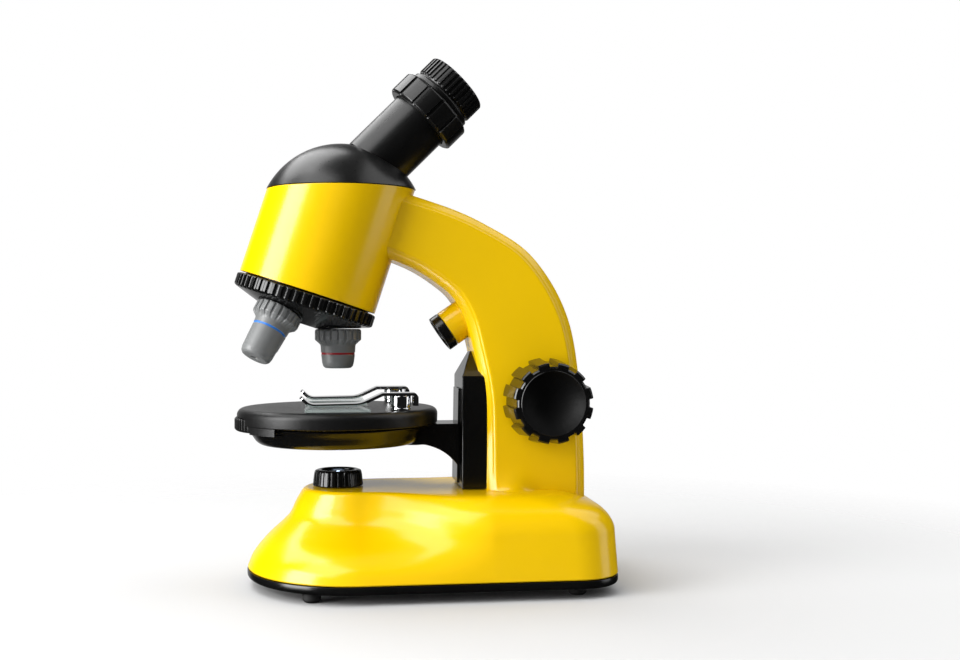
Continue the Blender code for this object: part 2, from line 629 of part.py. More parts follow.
# ---------------------------------------------------------------- focus drive
def involute_tooth(slack):
    """One side of a pinion tooth as (radius, angle from the tooth's middle) pairs."""
    pitch = GEAR_MODULE * PINION_TEETH / 2
    base = pitch * math.cos(math.radians(PRESSURE_ANGLE))
    tip = pitch + GEAR_MODULE * 0.85
    half_at_pitch = (math.pi * GEAR_MODULE / 2 - slack) / 2 / pitch
    roll_pitch = math.tan(math.radians(PRESSURE_ANGLE)) - math.radians(PRESSURE_ANGLE)
    flank = []
    for step in range(3):
        radius = base + (tip - base) * step / 2
        pressure = math.acos(base / radius)
        flank.append((radius, half_at_pitch + roll_pitch - (math.tan(pressure) - pressure)))
    return flank


def pinion_outline():
    root = GEAR_MODULE * (PINION_TEETH / 2 - 1.2)
    flank = involute_tooth(TOOTH_SLACK)
    outline = []
    for tooth in range(PINION_TEETH):
        middle = math.tau * tooth / PINION_TEETH
        line = [(root, flank[0][1]), *flank]
        for radius, angle in line:
            outline.append((radius * math.cos(middle - angle), radius * math.sin(middle - angle)))
        for radius, angle in reversed(line):
            outline.append((radius * math.cos(middle + angle), radius * math.sin(middle + angle)))
    return outline


def rack_outline():
    """Rack in (X, Z) seen from the left, its pitch line at X = 0 and its middle tooth at Z = 0."""
    pitch = math.pi * GEAR_MODULE
    lean = math.tan(math.radians(PRESSURE_ANGLE))
    half = (pitch / 2 - TOOTH_SLACK) / 2
    outline = [(-4.0, -pitch * RACK_TEETH / 2)]
    root, tip = -1.2 * GEAR_MODULE, 0.85 * GEAR_MODULE
    for tooth in range(RACK_TEETH):
        middle = pitch * (tooth + 0.5 - RACK_TEETH / 2)
        outline += [(root, middle - half + root * lean), (tip, middle - half + tip * lean),
                    (tip, middle + half - tip * lean), (root, middle + half - root * lean)]
    outline.append((-4.0, pitch * RACK_TEETH / 2))
    return outline


def knob_ring(radius, depth):
    """Knob section: twelve low lugs on a slightly smaller barrel."""
    ring = []
    for lug in range(KNOB_LUGS):
        middle = 360.0 / KNOB_LUGS * (lug + 0.5)
        for offset, share in ((-9.0, 0.92), (-7.8, 1.0), (7.8, 1.0), (9.0, 0.92)):
            x, y = polar(radius * share, middle + offset)
            ring.append((x, y, depth))
    return ring


def make_knob(shop, name, side, axis):
    rings = [knob_ring(KNOB_BASE_RADIUS - 0.8, KNOB_INNER), knob_ring(KNOB_BASE_RADIUS, KNOB_INNER + 0.8),
             knob_ring(KNOB_FACE_RADIUS, KNOB_OUTER - 0.7), knob_ring(KNOB_FACE_RADIUS - 0.8, KNOB_OUTER)]
    turn = (-90.0 * side, 0, 0)
    knob = shop.part(name, loft_mesh(rings), "black", axis, turn=turn)
    dish = ((0, KNOB_OUTER + 3), (12.9, KNOB_OUTER + 3), (12.3, KNOB_OUTER - 0.2), (10.8, KNOB_OUTER - 3.2),
            (7.2, KNOB_OUTER - 5.4), (0, KNOB_OUTER - 6.4))
    cut(knob, spin(shop.guide(f"{name}_dish", turned_mesh(dish), axis, turn=turn), 16))
    cut(knob, shop.guide(f"{name}_bore", rod_mesh(SHAFT_RADIUS + GAP, 10, 30.3, 16), axis, turn=turn))


def make_focus_drive(shop):
    axis = shop.empty("focus_axis", shop.frame, (SHAFT_X, 0, SHAFT_Z))
    shop.part("focus_shaft", rod_mesh(SHAFT_RADIUS, -30, 30, 16), "steel", axis, turn=(90, 0, 0))
    gear = shop.part("focus_pinion", prism_mesh(pinion_outline(), GEAR_HALF_WIDTH), "white", axis,
                     turn=(90, 0, 0))
    cut(gear, shop.guide("pinion_bore", rod_mesh(SHAFT_RADIUS + GAP, -6, 6, 16), axis, turn=(90, 0, 0)))
    make_knob(shop, "focus_knob_left", -1, axis)
    make_knob(shop, "focus_knob_right", 1, axis)


# ---------------------------------------------------------------- stage
def wheel_cutter(shop, name):
    mesh = rod_mesh(WHEEL_RADIUS + 2 * GAP, WHEEL_Z[0] - GAP, WHEEL_Z[1] + GAP, 28)
    return shop.guide(name, mesh, at=(WHEEL_X, 0, 0))


def bowl_profile():
    return ((38.4, 65.7), (36.1, 62.9), (33.8, 59.4), (31.8, BOWL_FOOT))


def make_stage(shop):
    radius = STAGE_RADIUS
    rim = ((STAGE_HOLE, STAGE_TOP), (radius - 1.6, STAGE_TOP), (radius - 0.4, STAGE_TOP - 0.6),
           (radius, 71.4), (radius - 0.5, 69.0), (radius - 2.0, RIM_FOOT), (36.8, RIM_FOOT), (36.8, 70.0),
           (STAGE_HOLE, 70.0))
    plate = spin(shop.part("stage_plate", turned_mesh(rim, ring=True), "matte"), 28)
    cut(plate, wheel_cutter(shop, "wheel_notch_plate"))
    for side, label in ((-1, "left"), (1, "right")):
        hole = rod_mesh(1.9, 66, 76, 12)
        cut(plate, shop.guide(f"post_hole_{label}", hole, at=(CLIP_POST_X, side * CLIP_Y, 0)))
    inner = ((8.0, BOWL_FOOT + 2.0), (31.0, BOWL_FOOT + 2.0), (34.2, 63.6), (36.3, 65.7))
    bowl = (*bowl_profile(), (8.0, BOWL_FOOT), *inner)
    dish = spin(shop.part("stage_bowl", turned_mesh(bowl, ring=True), "black"), 28)
    cut(dish, wheel_cutter(shop, "wheel_notch_bowl"))
    pivot = ((0, 69.2), (2.4, 69.2), (2.4, 63.0), (3.6, 62.6), (3.6, 58.0), (0, 58.0))
    join(dish, spin(shop.guide("wheel_pivot", turned_mesh(pivot), at=(WHEEL_X, 0, 0)), 12))


def make_filter_wheel(shop):
    axis = shop.empty("filter_axis", shop.frame, (WHEEL_X, 0, 0))
    low, high = WHEEL_Z
    ring = ((2.7, 67.6), (26.5, 67.6), (26.5, high), (29.7, high), (WHEEL_RADIUS, high - 0.6),
            (WHEEL_RADIUS, low + 0.9), (29.3, low), (26.5, low), (26.5, 65.2), (2.7, 65.2))
    wheel = spin(shop.part("filter_wheel", turned_mesh(ring, ring=True), "matte", axis), 28)
    colours = ("filter_red", "filter_green", "filter_blue", "filter_yellow")
    for index in range(FILTER_COUNT):
        x, y = polar(-WHEEL_X, 360.0 / FILTER_COUNT * index)
        hole = rod_mesh(FILTER_RADIUS + GAP, 64, 69, 12)
        cut(wheel, shop.guide(f"filter_hole_{index}", hole, axis, (x, y, 0)))
    for index, colour in enumerate(colours, start=1):
        x, y = polar(-WHEEL_X, 360.0 / FILTER_COUNT * index)
        shop.part(colour, rod_mesh(FILTER_RADIUS, 65.6, 67.2, 12), colour, axis, (x, y, 0))


def clip_outline():
    """Side view of the spring clip: tail bent down, flat over the post, slope, toe turned up."""
    middle = ((5.6, 74.7), (5.6, 78.6), (4.6, CLIP_TOP), (-7.4, CLIP_TOP), (-16.1, 75.5), (-35.2, 75.2),
              (-38.0, 76.2), (-40.0, 78.4))
    half = CLIP_THICKNESS / 2
    over, under = [], []
    count = len(middle)
    for index in range(count):
        here = Vector(middle[index])
        before = Vector(middle[max(index - 1, 0)])
        after = Vector(middle[min(index + 1, count - 1)])
        along = (after - before).normalized()
        side = Vector((along.y, -along.x))
        over.append(tuple(here + side * half))
        under.append(tuple(here - side * half))
    return over + list(reversed(under))


def make_clips(shop):
    for side, label in ((-1, "left"), (1, "right")):
        place = (CLIP_POST_X, side * CLIP_Y, 0)
        axis = shop.empty(f"clip_axis_{label}", shop.frame, place)
        clip = shop.part(f"stage_clip_{label}", prism_mesh(clip_outline(), CLIP_WIDTH / 2), "chrome", axis,
                         turn=(90, 0, 0))
        cut(clip, shop.guide(f"clip_eye_{label}", rod_mesh(2.1, 76, 84, 16), axis))
        post = ((0, CLIP_TOP + 0.4), (1.8, CLIP_TOP + 0.4), (1.8, CLIP_TOP - 0.8),
                (CLIP_POST_RADIUS, CLIP_TOP - 0.8), (CLIP_POST_RADIUS, STAGE_TOP + GAP),
                (1.6, STAGE_TOP + GAP), (1.6, 70.4), (0, 70.4))
        spin(shop.part(f"clip_post_{label}", turned_mesh(post), "chrome", at=place), 14)


def make_slide(shop):
    foot = STAGE_TOP + GAP
    slide = box_mesh((SLIDE_X[0], -SLIDE_HALF, foot), (SLIDE_X[1], SLIDE_HALF, foot + SLIDE_THICKNESS))
    shop.part("glass_slide", slide, "glass")


def make_carriage(shop):
    outline = ((24.0, CARRIAGE_TOP), (24.0, 57.0), (31.4, 57.4), (34.6, 57.5), (38.4, 56.8), (41.8, 55.3),
               (44.2, 53.9), (46.3, 52.1), (49.3, 48.4), (49.3, CARRIAGE_TOP))
    mesh = prism_mesh(outline, CARRIAGE_HALF)
    carriage = shop.part("stage_carriage", mesh, "black", turn=(90, 0, 0))
    plate = [[(x, y, z) for x, y in ((front, -9.0), (50.1, -9.0), (50.1, 9.0), (front, 9.0))]
             for z, front in ((41.4, 48.9), (80.6, 49.5))]
    join(carriage, shop.guide("slide_plate", loft_mesh(plate)))
    join(carriage, shop.guide("slide_neck", box_mesh((49.8, -NECK_HALF, 48.5), (70.0, NECK_HALF, 66.0))))
    join(carriage, shop.guide("slide_flange", box_mesh((52.9, -9.0, 48.5), (56.4, 9.0, 70.0))))
    radius = STAGE_RADIUS
    envelope = ((0, 75), (radius + 1.6, 75), (radius + GAP, 71.5), (radius - 0.2, 69.0),
                (radius - 1.7, RIM_FOOT - GAP), (38.7, 65.4), (36.4, 62.6), (34.1, 59.1), (32.1, 57.6),
                (32.1, 55), (0, 55))
    cut(carriage, spin(shop.guide("stage_envelope", turned_mesh(envelope)), 28))
    cut(carriage, shop.guide("rack_seat", box_mesh((68.2, -5, 40), (90, 5, 100))))
    rack = prism_mesh(rack_outline(), GEAR_HALF_WIDTH)
    pitch_x = SHAFT_X - GEAR_MODULE * PINION_TEETH / 2
    rack_part = shop.part("focus_rack", rack, "white", at=(pitch_x, 0, SHAFT_Z - RACK_DROP),
                          turn=(90, 0, 0))
    join(rack_part, shop.guide("rack_back", box_mesh((68.5, -3.4, 57.0), (pitch_x - 3.6, 3.4, 80.0))))


# ---------------------------------------------------------------- head and turret
def head_axis(shop):
    return shop.empty("turret_axis", shop.frame, (0, 0, PIVOT_Z), (0, TURRET_TILT, 0))


def make_head(shop, axis):
    inner = HEAD_RADIUS - HEAD_WALL
    cup = ((inner, 24.0), (HEAD_RADIUS, 24.0), (HEAD_RADIUS, HEAD_FOOT), (3.3, HEAD_FOOT),
           (3.3, HEAD_FOOT + 2.6), (inner, HEAD_FOOT + 2.6))
    head = spin(shop.part("head_shell", turned_mesh(cup, ring=True), "yellow", axis), 36)
    cut(head, shop.guide("head_top_cut", box_mesh((-60, -60, HEAD_TOP), (60, 60, HEAD_TOP + 60))))
    cut(head, shop.guide("light_hole", rod_mesh(5.0, 110, 135, 16)))
    return shop.guide("head_blank", rod_mesh(HEAD_RADIUS + GAP, HEAD_FOOT - 4, 40, 36), axis)


def make_dome(shop, eyepiece_axis):
    rim = math.degrees(math.asin((HEAD_TOP + GAP - DOME_CENTRE[2]) / DOME_RADIUS))
    inner = DOME_RADIUS - DOME_WALL
    inner_rim = math.degrees(math.asin((HEAD_TOP + GAP - DOME_CENTRE[2]) / inner))
    steps = 5
    profile = [polar(DOME_RADIUS, 90.0 - (90.0 - rim) * step / steps) for step in range(steps + 1)]
    profile += [polar(inner, inner_rim + (90.0 - inner_rim) * step / steps) for step in range(steps + 1)]
    profile[0] = (0.0, DOME_RADIUS)
    profile[-1] = (0.0, inner)
    dome = spin(shop.part("dome", turned_mesh(profile), "black", at=DOME_CENTRE), 28)
    dome.scale = (1.0, DOME_FLATTEN, 1.0)
    cut(dome, shop.guide("tube_hole", rod_mesh(TUBE_RADIUS + GAP, 10, 50, 28), eyepiece_axis))


def make_mirror(shop):
    tilt = (0, EYEPIECE_TILT / 2 + 90.0, 0)
    axis = shop.empty("mirror_axis", shop.frame, (0, 0, PIVOT_Z), tilt)
    shop.part("mirror", box_mesh((-12, -11, -1.6), (12, 11, 0)), "mirror", axis)
    holder = shop.part("mirror_holder", box_mesh((-13, -12, -4.0), (13, 12, -1.9)), "black", axis)
    join(holder, shop.guide("holder_rib", box_mesh((-13, -2, -13.0), (-6, 2, -3.0)), axis))


def turret_seats(shop, axis):
    """One empty for each objective, at PIVOT, with its -Z axis along the objective."""
    seats = []
    for name, around, reach in OBJECTIVES:
        carrier = shop.empty(f"index_{name}", axis, (0, 0, 0), (0, 0, around))
        seat = shop.empty(f"seat_{name}", carrier, (0, 0, 0), (0, -TURRET_TILT, 0))
        seats.append((name, seat, reach))
    return seats


def make_turret(shop, axis, seats):
    slope = math.tan(math.radians(TURRET_TILT))
    cone_tip = TURRET_FOOT - (TURRET_RADIUS - 0.8 - 6.2) * slope
    disc = ((3.3, TURRET_TOP), (TURRET_RADIUS - 0.4, TURRET_TOP), (TURRET_RADIUS, TURRET_TOP - 0.4),
            (TURRET_RADIUS, TURRET_FOOT + 0.5), (TURRET_RADIUS - 0.8, TURRET_FOOT), (6.2, cone_tip),
            (3.3, cone_tip))
    turret = spin(shop.part("turret", turned_mesh(disc, ring=True), "black", axis), 32)
    for name, seat, _ in seats:
        boss = shop.guide(f"boss_{name}", rod_mesh(COLLAR_RADIUS + 0.2, GAP - SEAT_DEPTH, -49.0, 18), seat)
        join(turret, boss)
    for name, seat, _ in seats:
        cut(turret, shop.guide(f"port_{name}", rod_mesh(5.5, -60, -38, 16), seat))
    bolt = ((0, -36.0), (3.0, -36.0), (3.0, cone_tip - GAP), (5.2, cone_tip - GAP), (5.2, cone_tip - 0.9),
            (4.6, cone_tip - 1.3), (0, cone_tip - 1.3))
    spin(shop.part("turret_bolt", turned_mesh(bolt), "steel", axis), 14)


def make_objectives(shop, seats):
    for name, seat, reach in seats:
        body = ((3.2, -49.6), (5.2, -49.6), (5.2, -SEAT_DEPTH), (COLLAR_RADIUS, -SEAT_DEPTH),
                (COLLAR_RADIUS, -58.6), (7.5, -60.1), (6.2, 2.2 - reach), (5.0, -reach), (2.4, -reach),
                (2.4, 3.0 - reach), (3.2, 3.0 - reach))
        spin(shop.part(f"objective_{name}", turned_mesh(body, ring=True), "grey", seat), 18)
        lens = ((0, 4.9 - reach), (2.9, 4.6 - reach), (2.9, 3.3 - reach), (0, 3.3 - reach))
        spin(shop.part(f"objective_lens_{name}", turned_mesh(lens), "glass", seat), 12)


# ---------------------------------------------------------------- eyepiece
def make_eyepiece(shop, axis):
    tube = ((TUBE_BORE, TUBE_SPAN[1]), (TUBE_RADIUS, TUBE_SPAN[1]), (TUBE_RADIUS, TUBE_SPAN[0]),
            (TUBE_BORE, TUBE_SPAN[0]))
    spin(shop.part("eyepiece_tube", turned_mesh(tube, ring=True), "black", axis), 24)
    low, high = ZOOM_SPAN
    bore = TUBE_RADIUS + GAP
    collar = ((bore, high), (ZOOM_RADIUS - 0.6, high), (ZOOM_RADIUS, high - 0.6), (ZOOM_RADIUS, low + 0.6),
              (ZOOM_RADIUS - 0.6, low), (bore, low))
    spin(shop.part("zoom_collar", turned_mesh(collar, ring=True), "black", axis), 24)
    foot, top = CAP_SPAN
    cap = ((8.0, top - 2.4), (11.4, top), (CAP_RADIUS - 0.6, top), (CAP_RADIUS, top - 0.6),
           (CAP_RADIUS, foot), (NECK_RADIUS, foot - 0.7), (NECK_RADIUS, high + GAP),
           (TUBE_BORE - GAP, high + GAP), (TUBE_BORE - GAP, 34.0), (9.6, 34.0), (9.6, top - 5.0),
           (8.0, top - 5.0))
    spin(shop.part("eyepiece_cap", turned_mesh(cap, ring=True), "black", axis), 24)
    field = ((0, 38.4), (9.3, 37.2), (9.3, 35.6), (0, 35.0))
    spin(shop.part("field_lens", turned_mesh(field), "glass", axis), 16)
    eye_lens = ((0, top - 5.3), (9.3, top - 5.3), (9.3, top - 7.0), (0, top - 8.2))
    spin(shop.part("eye_lens", turned_mesh(eye_lens), "glass", axis), 16)


def main():
    shop = Workshop()
    make_base_shell(shop)
    make_base_plate(shop)
    make_feet(shop)
    make_battery_set(shop)
    make_battery_spring(shop)
    make_electrics(shop)
    make_deck_lamp(shop)
    turret_axis = head_axis(shop)
    head_blank = make_head(shop, turret_axis)
    lamp_axis = side_lamp_axis(shop)
    make_arm(shop, lamp_axis, head_blank)
    make_side_lamp(shop, lamp_axis)
    make_column(shop)
    make_focus_drive(shop)
    make_carriage(shop)
    make_stage(shop)
    make_filter_wheel(shop)
    make_clips(shop)
    make_slide(shop)
    eyepiece_axis = shop.empty("eyepiece_axis", shop.frame, (0, 0, PIVOT_Z), (0, EYEPIECE_TILT, 0))
    make_dome(shop, eyepiece_axis)
    make_mirror(shop)
    seats = turret_seats(shop, turret_axis)
    make_turret(shop, turret_axis, seats)
    make_objectives(shop, seats)
    make_eyepiece(shop, eyepiece_axis)
    bpy.context.view_layer.update()


main()
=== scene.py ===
"""Looks of the kids microscope: fine shells, knurls, chrome and moulded plastic round its frame.

Sizes are in millimetres, counted from the foot of the optical axis on the table, as the
frame has it: -X is the toe, +X the heel, +Z is up, and -Y is the left side of the user.
"""
import json
import math

import bmesh
import bpy
from mathutils import Matrix, Vector


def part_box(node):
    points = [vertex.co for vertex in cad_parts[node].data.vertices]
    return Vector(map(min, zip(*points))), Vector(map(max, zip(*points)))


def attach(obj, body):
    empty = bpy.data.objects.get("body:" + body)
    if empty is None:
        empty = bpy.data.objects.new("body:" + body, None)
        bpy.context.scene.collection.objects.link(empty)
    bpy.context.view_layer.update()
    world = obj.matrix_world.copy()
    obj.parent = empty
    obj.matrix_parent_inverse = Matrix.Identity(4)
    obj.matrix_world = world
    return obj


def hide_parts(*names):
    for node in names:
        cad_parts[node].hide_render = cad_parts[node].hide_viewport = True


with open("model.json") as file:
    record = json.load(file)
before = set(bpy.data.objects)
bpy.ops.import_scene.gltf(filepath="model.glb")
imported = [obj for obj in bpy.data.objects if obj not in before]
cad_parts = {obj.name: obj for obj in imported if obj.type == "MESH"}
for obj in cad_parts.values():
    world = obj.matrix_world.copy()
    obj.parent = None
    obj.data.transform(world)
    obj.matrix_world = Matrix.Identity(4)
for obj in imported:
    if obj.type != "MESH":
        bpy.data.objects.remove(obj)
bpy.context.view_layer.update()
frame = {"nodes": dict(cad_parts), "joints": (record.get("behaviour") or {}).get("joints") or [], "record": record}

MM = 0.001
GAP = 0.3                    # air that the frame leaves between two pieces

# Where things are in the frame.
JOINTS = {joint["name"]: joint for joint in frame["joints"]}
PIVOT = Vector(JOINTS["nosepiece_turn"]["pos_m"]) / MM
OPTICAL_X = PIVOT.x
STAND = Matrix.Translation((OPTICAL_X * MM, 0, 0))


def span(node):
    """Lowest and highest corner of a frame node, from the foot of the optical axis."""
    shift = Vector((OPTICAL_X, 0, 0))
    low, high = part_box(node)
    return low / MM - shift, high / MM - shift


SHELL_FOOT, DECK = span("base_shell")[0].z, span("base_shell")[1].z
HEEL_X = span("base_shell")[1].x
PLATE_FOOT, PLATE_TOP, BAY_TOP = span("base_plate")[0].z, SHELL_FOOT - GAP, span("base_plate")[1].z
STAGE_TOP = span("stage_plate")[1].z
STAGE_RADIUS = span("stage_plate")[1].y
BOWL_FOOT = span("stage_bowl")[0].z
WHEEL_FOOT, WHEEL_TOP = span("filter_wheel")[0].z, span("filter_wheel")[1].z
HEAD_TOP = span("head_shell")[1].z

# Base.
BAY_WALL = 1.6
SHOULDER, DECK_EDGE = 24.0, 1.3
SHELL_WALL = 2.2
DECK_SAG, SAG_START_X, SAG_RUN = 0.9, 15.0, 35.0      # the deck falls towards the arm
SAG_FOOT, SAG_RISE = 33.0, 5.0                        # heights between which the fall fades in
SKIRT_HALF, DECK_REAR_HALF, HEEL_DECK_X, DECK_CORNER = 48.0, 31.0, 84.5, 20.0
FRONT_CENTRE_X, FLANK_END_X = 8.0, 62.0
TOE_LINE = ((SHELL_FOOT, -37.2), (13.4, -34.6), (20.4, -28.8), (26.0, -22.8), (29.0, -19.9),
            (35.0, -17.0), (DECK, -13.9))
FLANK_LINE = ((SHELL_FOOT, 48.0), (13.0, 45.6), (18.0, 40.3), (23.0, 32.6), (28.0, 27.0),
              (34.0, 24.2), (DECK, 22.0))

# Arm.
ARM_OUTER_LINE = ((27.0, 161.6), (47.4, 154.9), (61.1, 148.6), (76.0, 139.6), (86.0, 128.4),
                  (93.7, 114.3), (98.1, 98.5), (100.9, 73.6), (102.0, 50.0), (102.0, 30.0))
ARM_INNER_LINE = ((12.0, 137.6), (30.0, 130.6), (42.1, 122.9), (48.2, 116.8), (52.6, 108.0),
                  (55.7, 96.0), (58.9, 80.0), (59.8, 64.0), (59.8, 30.0))
ARM_HALF_AT_DECK, ARM_HALF_AT_HEAD = 17.5, 15.0
ARM_BEVEL, ARM_SPLIT, ARM_STEPS = 4.2, 0.15, 24       # edge band, half seam, steps across the side
ARM_CREASE, ARM_CROWN, ARM_RUN_IN = 0.7, 0.3, 2.0     # round of its creases, swell, run-in
FLARE_HEIGHT, FLARE_REACH, FLARE_SINK = 12.5, 10.5, 0.35   # it ends a little below the deck
FLARE_FRONT, FLARE_FRONT_RUN = 1.0, 15.0              # where it starts behind the front, and how fast
FLARE_HEEL_X, FLARE_HEEL_RUN = HEEL_DECK_X - 0.5, 22.0
ARM_SCREWS, ARM_SCREW_FLOOR, SCREW_FACE = ((74.0, 120.0), (91.0, 52.0)), 13.2, 15.2

# Turned pieces. Distances along a tilted axis are counted from PIVOT.
TURRET_TILT, EYEPIECE_TILT = 18.0, 45.0
HEAD_RADIUS, HEAD_FOOT = 29.2, -40.6
DOME_RADIUS, DOME_CENTRE, DOME_FLATTEN = 34.8, (1.5, 0.0, 147.8), 0.94
TURRET_RADIUS, TURRET_TOP, TURRET_FOOT = 29.8, -41.2, -46.8
SEAT_DEPTH, COLLAR_RADIUS = 53.9, 9.65
# Name, place round the turret, reach and depth of the colour ring.
OBJECTIVES = (("red", 0.0, 70.2, 64.1), ("blue", -120.0, 76.1, 63.2), ("yellow", 120.0, 73.2, 63.6))
TUBE_RADIUS, TUBE_BORE, TUBE_SPAN = 13.33, 11.6, (20.0, 58.3)
ZOOM_RADIUS, ZOOM_SPAN = 17.0, (48.0, 58.8)
CAP_RADIUS, CAP_SPAN, NECK_RADIUS = 14.2, (62.2, 71.1), 14.6
SIDE_LAMP_FACE, SIDE_LAMP_TILT, SIDE_LAMP_RADIUS = (42.6, 0.0, 103.0), 55.06, 7.86
SHAFT_X, SHAFT_Z, SHAFT_RADIUS, SHAFT_HALF = 84.1, 76.1, 3.0, 30.0
KNOB_INNER, KNOB_OUTER, KNOB_BASE_RADIUS, KNOB_FACE_RADIUS = 18.8, 39.2, 17.6, 16.2
KNOB_DISH_RADIUS, KNOB_DISH_DEPTH = 12.9, 6.3

# Stage, clips and column.
WHEEL_X, WHEEL_RADIUS = -12.0, 30.5
RIM_FOOT, APRON_X = 66.4, -25.4      # the rim hangs lower in front, round the wheel
CLIP_X, CLIP_Y, CLIP_WIDTH, CLIP_THICKNESS, CLIP_TOP = 24.6, 23.5, 7.5, 1.2, 79.5
CLIP_CORNER = 1.8
SWITCH_Z, SWITCH_FACE_X = 17.0, 108.4
COLUMN_FRONT, COLUMN_REAR, COLUMN_HALF, COLUMN_EAVES, COLUMN_RIDGE = 50.5, 61.0, 14.5, 85.8, 96.0


def knurl(*rising):
    """One rib as (share of the pitch, share of the depth) pairs; 1 is the groove's floor.

    It is given from the groove to its middle, and the other side is the mirror image.
    """
    falling = [(1 - phase, dip) for phase, dip in reversed(rising) if phase < 0.5]
    return ((0.0, 1.0), *rising, *falling)


FINE_RIB = knurl((0.2, 1.0), (0.28, 0.75), (0.36, 0.0))
WIDE_RIB = knurl((0.05, 1.0), (0.075, 0.7), (0.11, 0.0), (0.25, 0.0), (0.4, 0.0))
KNOB_LUG = knurl((0.19, 1.0), (0.21, 0.85), (0.225, 0.15), (0.245, 0.0), (0.4, 0.0))
GRIP_RIB = knurl((0.1, 1.0), (0.15, 0.85), (0.22, 0.1), (0.3, 0.0), (0.5, 0.0))
SMOOTH = ((0.0, 0.0),)


# ------------ lines and profiles
def polar(radius, degrees):
    angle = math.radians(degrees)
    return radius * math.cos(angle), radius * math.sin(angle)


def ease(share):
    share = min(1.0, max(0.0, share))
    return share * share * (3 - 2 * share)


def smooth_through(points, per_span):
    """Points of a smooth curve that passes through the given ones (Catmull-Rom)."""
    ends = (points[0], *points, points[-1])
    line = []
    for before, start, stop, after in zip(ends, ends[1:], ends[2:], ends[3:]):
        for step in range(per_span):
            t = step / per_span
            line.append(Vector([
                0.5 * (2 * b + (c - a) * t + (2 * a - 5 * b + 4 * c - d) * t ** 2
                       + (3 * b - a - 3 * c + d) * t ** 3)
                for a, b, c, d in zip(before, start, stop, after)]))
    line.append(Vector(points[-1]))
    return line


def evenly(line, count):
    """The same line with its points evenly spaced along its length."""
    lengths = [0.0]
    for start, stop in zip(line, line[1:]):
        lengths.append(lengths[-1] + (stop - start).length)
    spaced = []
    spot = 0
    for step in range(count):
        target = lengths[-1] * step / (count - 1)
        while spot < len(line) - 2 and lengths[spot + 1] < target:
            spot += 1
        share = (target - lengths[spot]) / (lengths[spot + 1] - lengths[spot])
        spaced.append(line[spot].lerp(line[spot + 1], share))
    return spaced


def value_at(table, height):
    """Smooth reading of a (height, value) table, level at both ends."""
    if height <= table[0][0]:
        return table[0][1]
    for index in range(len(table) - 1):
        (low, start), (high, stop) = table[index], table[index + 1]
        if height <= high:
            before = table[max(index - 1, 0)]
            after = table[min(index + 2, len(table) - 1)]
            slope_in = (stop - before[1]) / (high - before[0])
            slope_out = (after[1] - start) / (after[0] - low)
            t = (height - low) / (high - low)
            run = high - low
            return ((2 * t ** 3 - 3 * t ** 2 + 1) * start + (t ** 3 - 2 * t ** 2 + t) * run * slope_in
                    + (3 * t ** 2 - 2 * t ** 3) * stop + (t ** 3 - t ** 2) * run * slope_out)
    return table[-1][1]


def rounded(points, radius, steps=3, closed=True):
    """Profile with its corners rounded off. A point may carry a third value, its share of the ribs."""
    full = [Vector((*point, 0.0)[:3]) for point in points]
    count = len(full)
    line = []
    for index, corner in enumerate(full):
        if not closed and index in (0, count - 1):
            line.append(corner)
            continue
        before, after = full[index - 1], full[(index + 1) % count]
        back, ahead = before - corner, after - corner
        reach = min(radius, 0.45 * back.length, 0.45 * ahead.length)
        start, stop = corner + back.normalized() * reach, corner + ahead.normalized() * reach
        for step in range(steps + 1):
            t = step / steps
            line.append(start * (1 - t) ** 2 + corner * (2 * t * (1 - t)) + stop * t ** 2)
    return line


# ------------ meshes, in millimetres
def add_row(bm, points):
    return [bm.verts.new(point) for point in points]


def outward(bm):
    bmesh.ops.recalc_face_normals(bm, faces=bm.faces)
    return bm


def bridge(bm, lower, upper):
    """Faces between two rings; a ring of one point makes a fan."""
    count = max(len(lower), len(upper))
    for index in range(count):
        following = (index + 1) % count
        if len(lower) == 1:
            bm.faces.new((lower[0], upper[following], upper[index]))
        elif len(upper) == 1:
            bm.faces.new((lower[index], lower[following], upper[0]))
        else:
            bm.faces.new((lower[index], lower[following], upper[following], upper[index]))


def skin(rings, closed=False):
    """Surface over rings of equal point count, with flat ends, or joined end to end."""
    bm = bmesh.new()
    rows = [add_row(bm, ring) for ring in rings]
    for lower, upper in zip(rows, rows[1:]):
        bridge(bm, lower, upper)
    if closed:
        bridge(bm, rows[-1], rows[0])
    else:
        bm.faces.new(rows[0])
        bm.faces.new(list(reversed(rows[-1])))
    return outward(bm)


def turned(profile, ribs=96, rib=SMOOTH, depth=0.0):
    """A (radius, height, rib share) profile turned round Z, with its ribs cut into it.

    A profile that starts off the axis is a loop, and its last ring joins the first.
    """
    bm = bmesh.new()
    rows = []
    for radius, height, share in [tuple((*point, 0.0)[:3]) for point in profile]:
        if radius < 1e-6:
            rows.append(add_row(bm, [(0, 0, height)]))
            continue
        ring = []
        for index in range(ribs):
            for phase, dip in rib:
                x, y = polar(radius - depth * dip * share, 360.0 * (index + phase) / ribs)
                ring.append((x, y, height))
        rows.append(add_row(bm, ring))
    for lower, upper in zip(rows, rows[1:]):
        bridge(bm, lower, upper)
    if len(rows[0]) > 1:
        bridge(bm, rows[-1], rows[0])
    return outward(bm)


def solid_turned(points, edge, around=96, steps=3):
    """A solid turned piece with rounded corners; its profile starts and ends on the axis."""
    return turned(rounded(points, edge, steps, closed=False), around)


def rod(radius, low, high, around=32):
    """Plain round rod along Z, to cut with."""
    return turned([(0, high), (radius, high), (radius, low), (0, low)], around)


def block(low, high, edge=0.4, steps=2):
    """Box with rounded edges."""
    bm = bmesh.new()
    size = Vector(high) - Vector(low)
    centre = (Vector(high) + Vector(low)) / 2
    place = Matrix.Translation(centre) @ Matrix.Diagonal((*size, 1.0))
    bmesh.ops.create_cube(bm, size=1.0, matrix=place)
    return soften(bm, edge, steps)


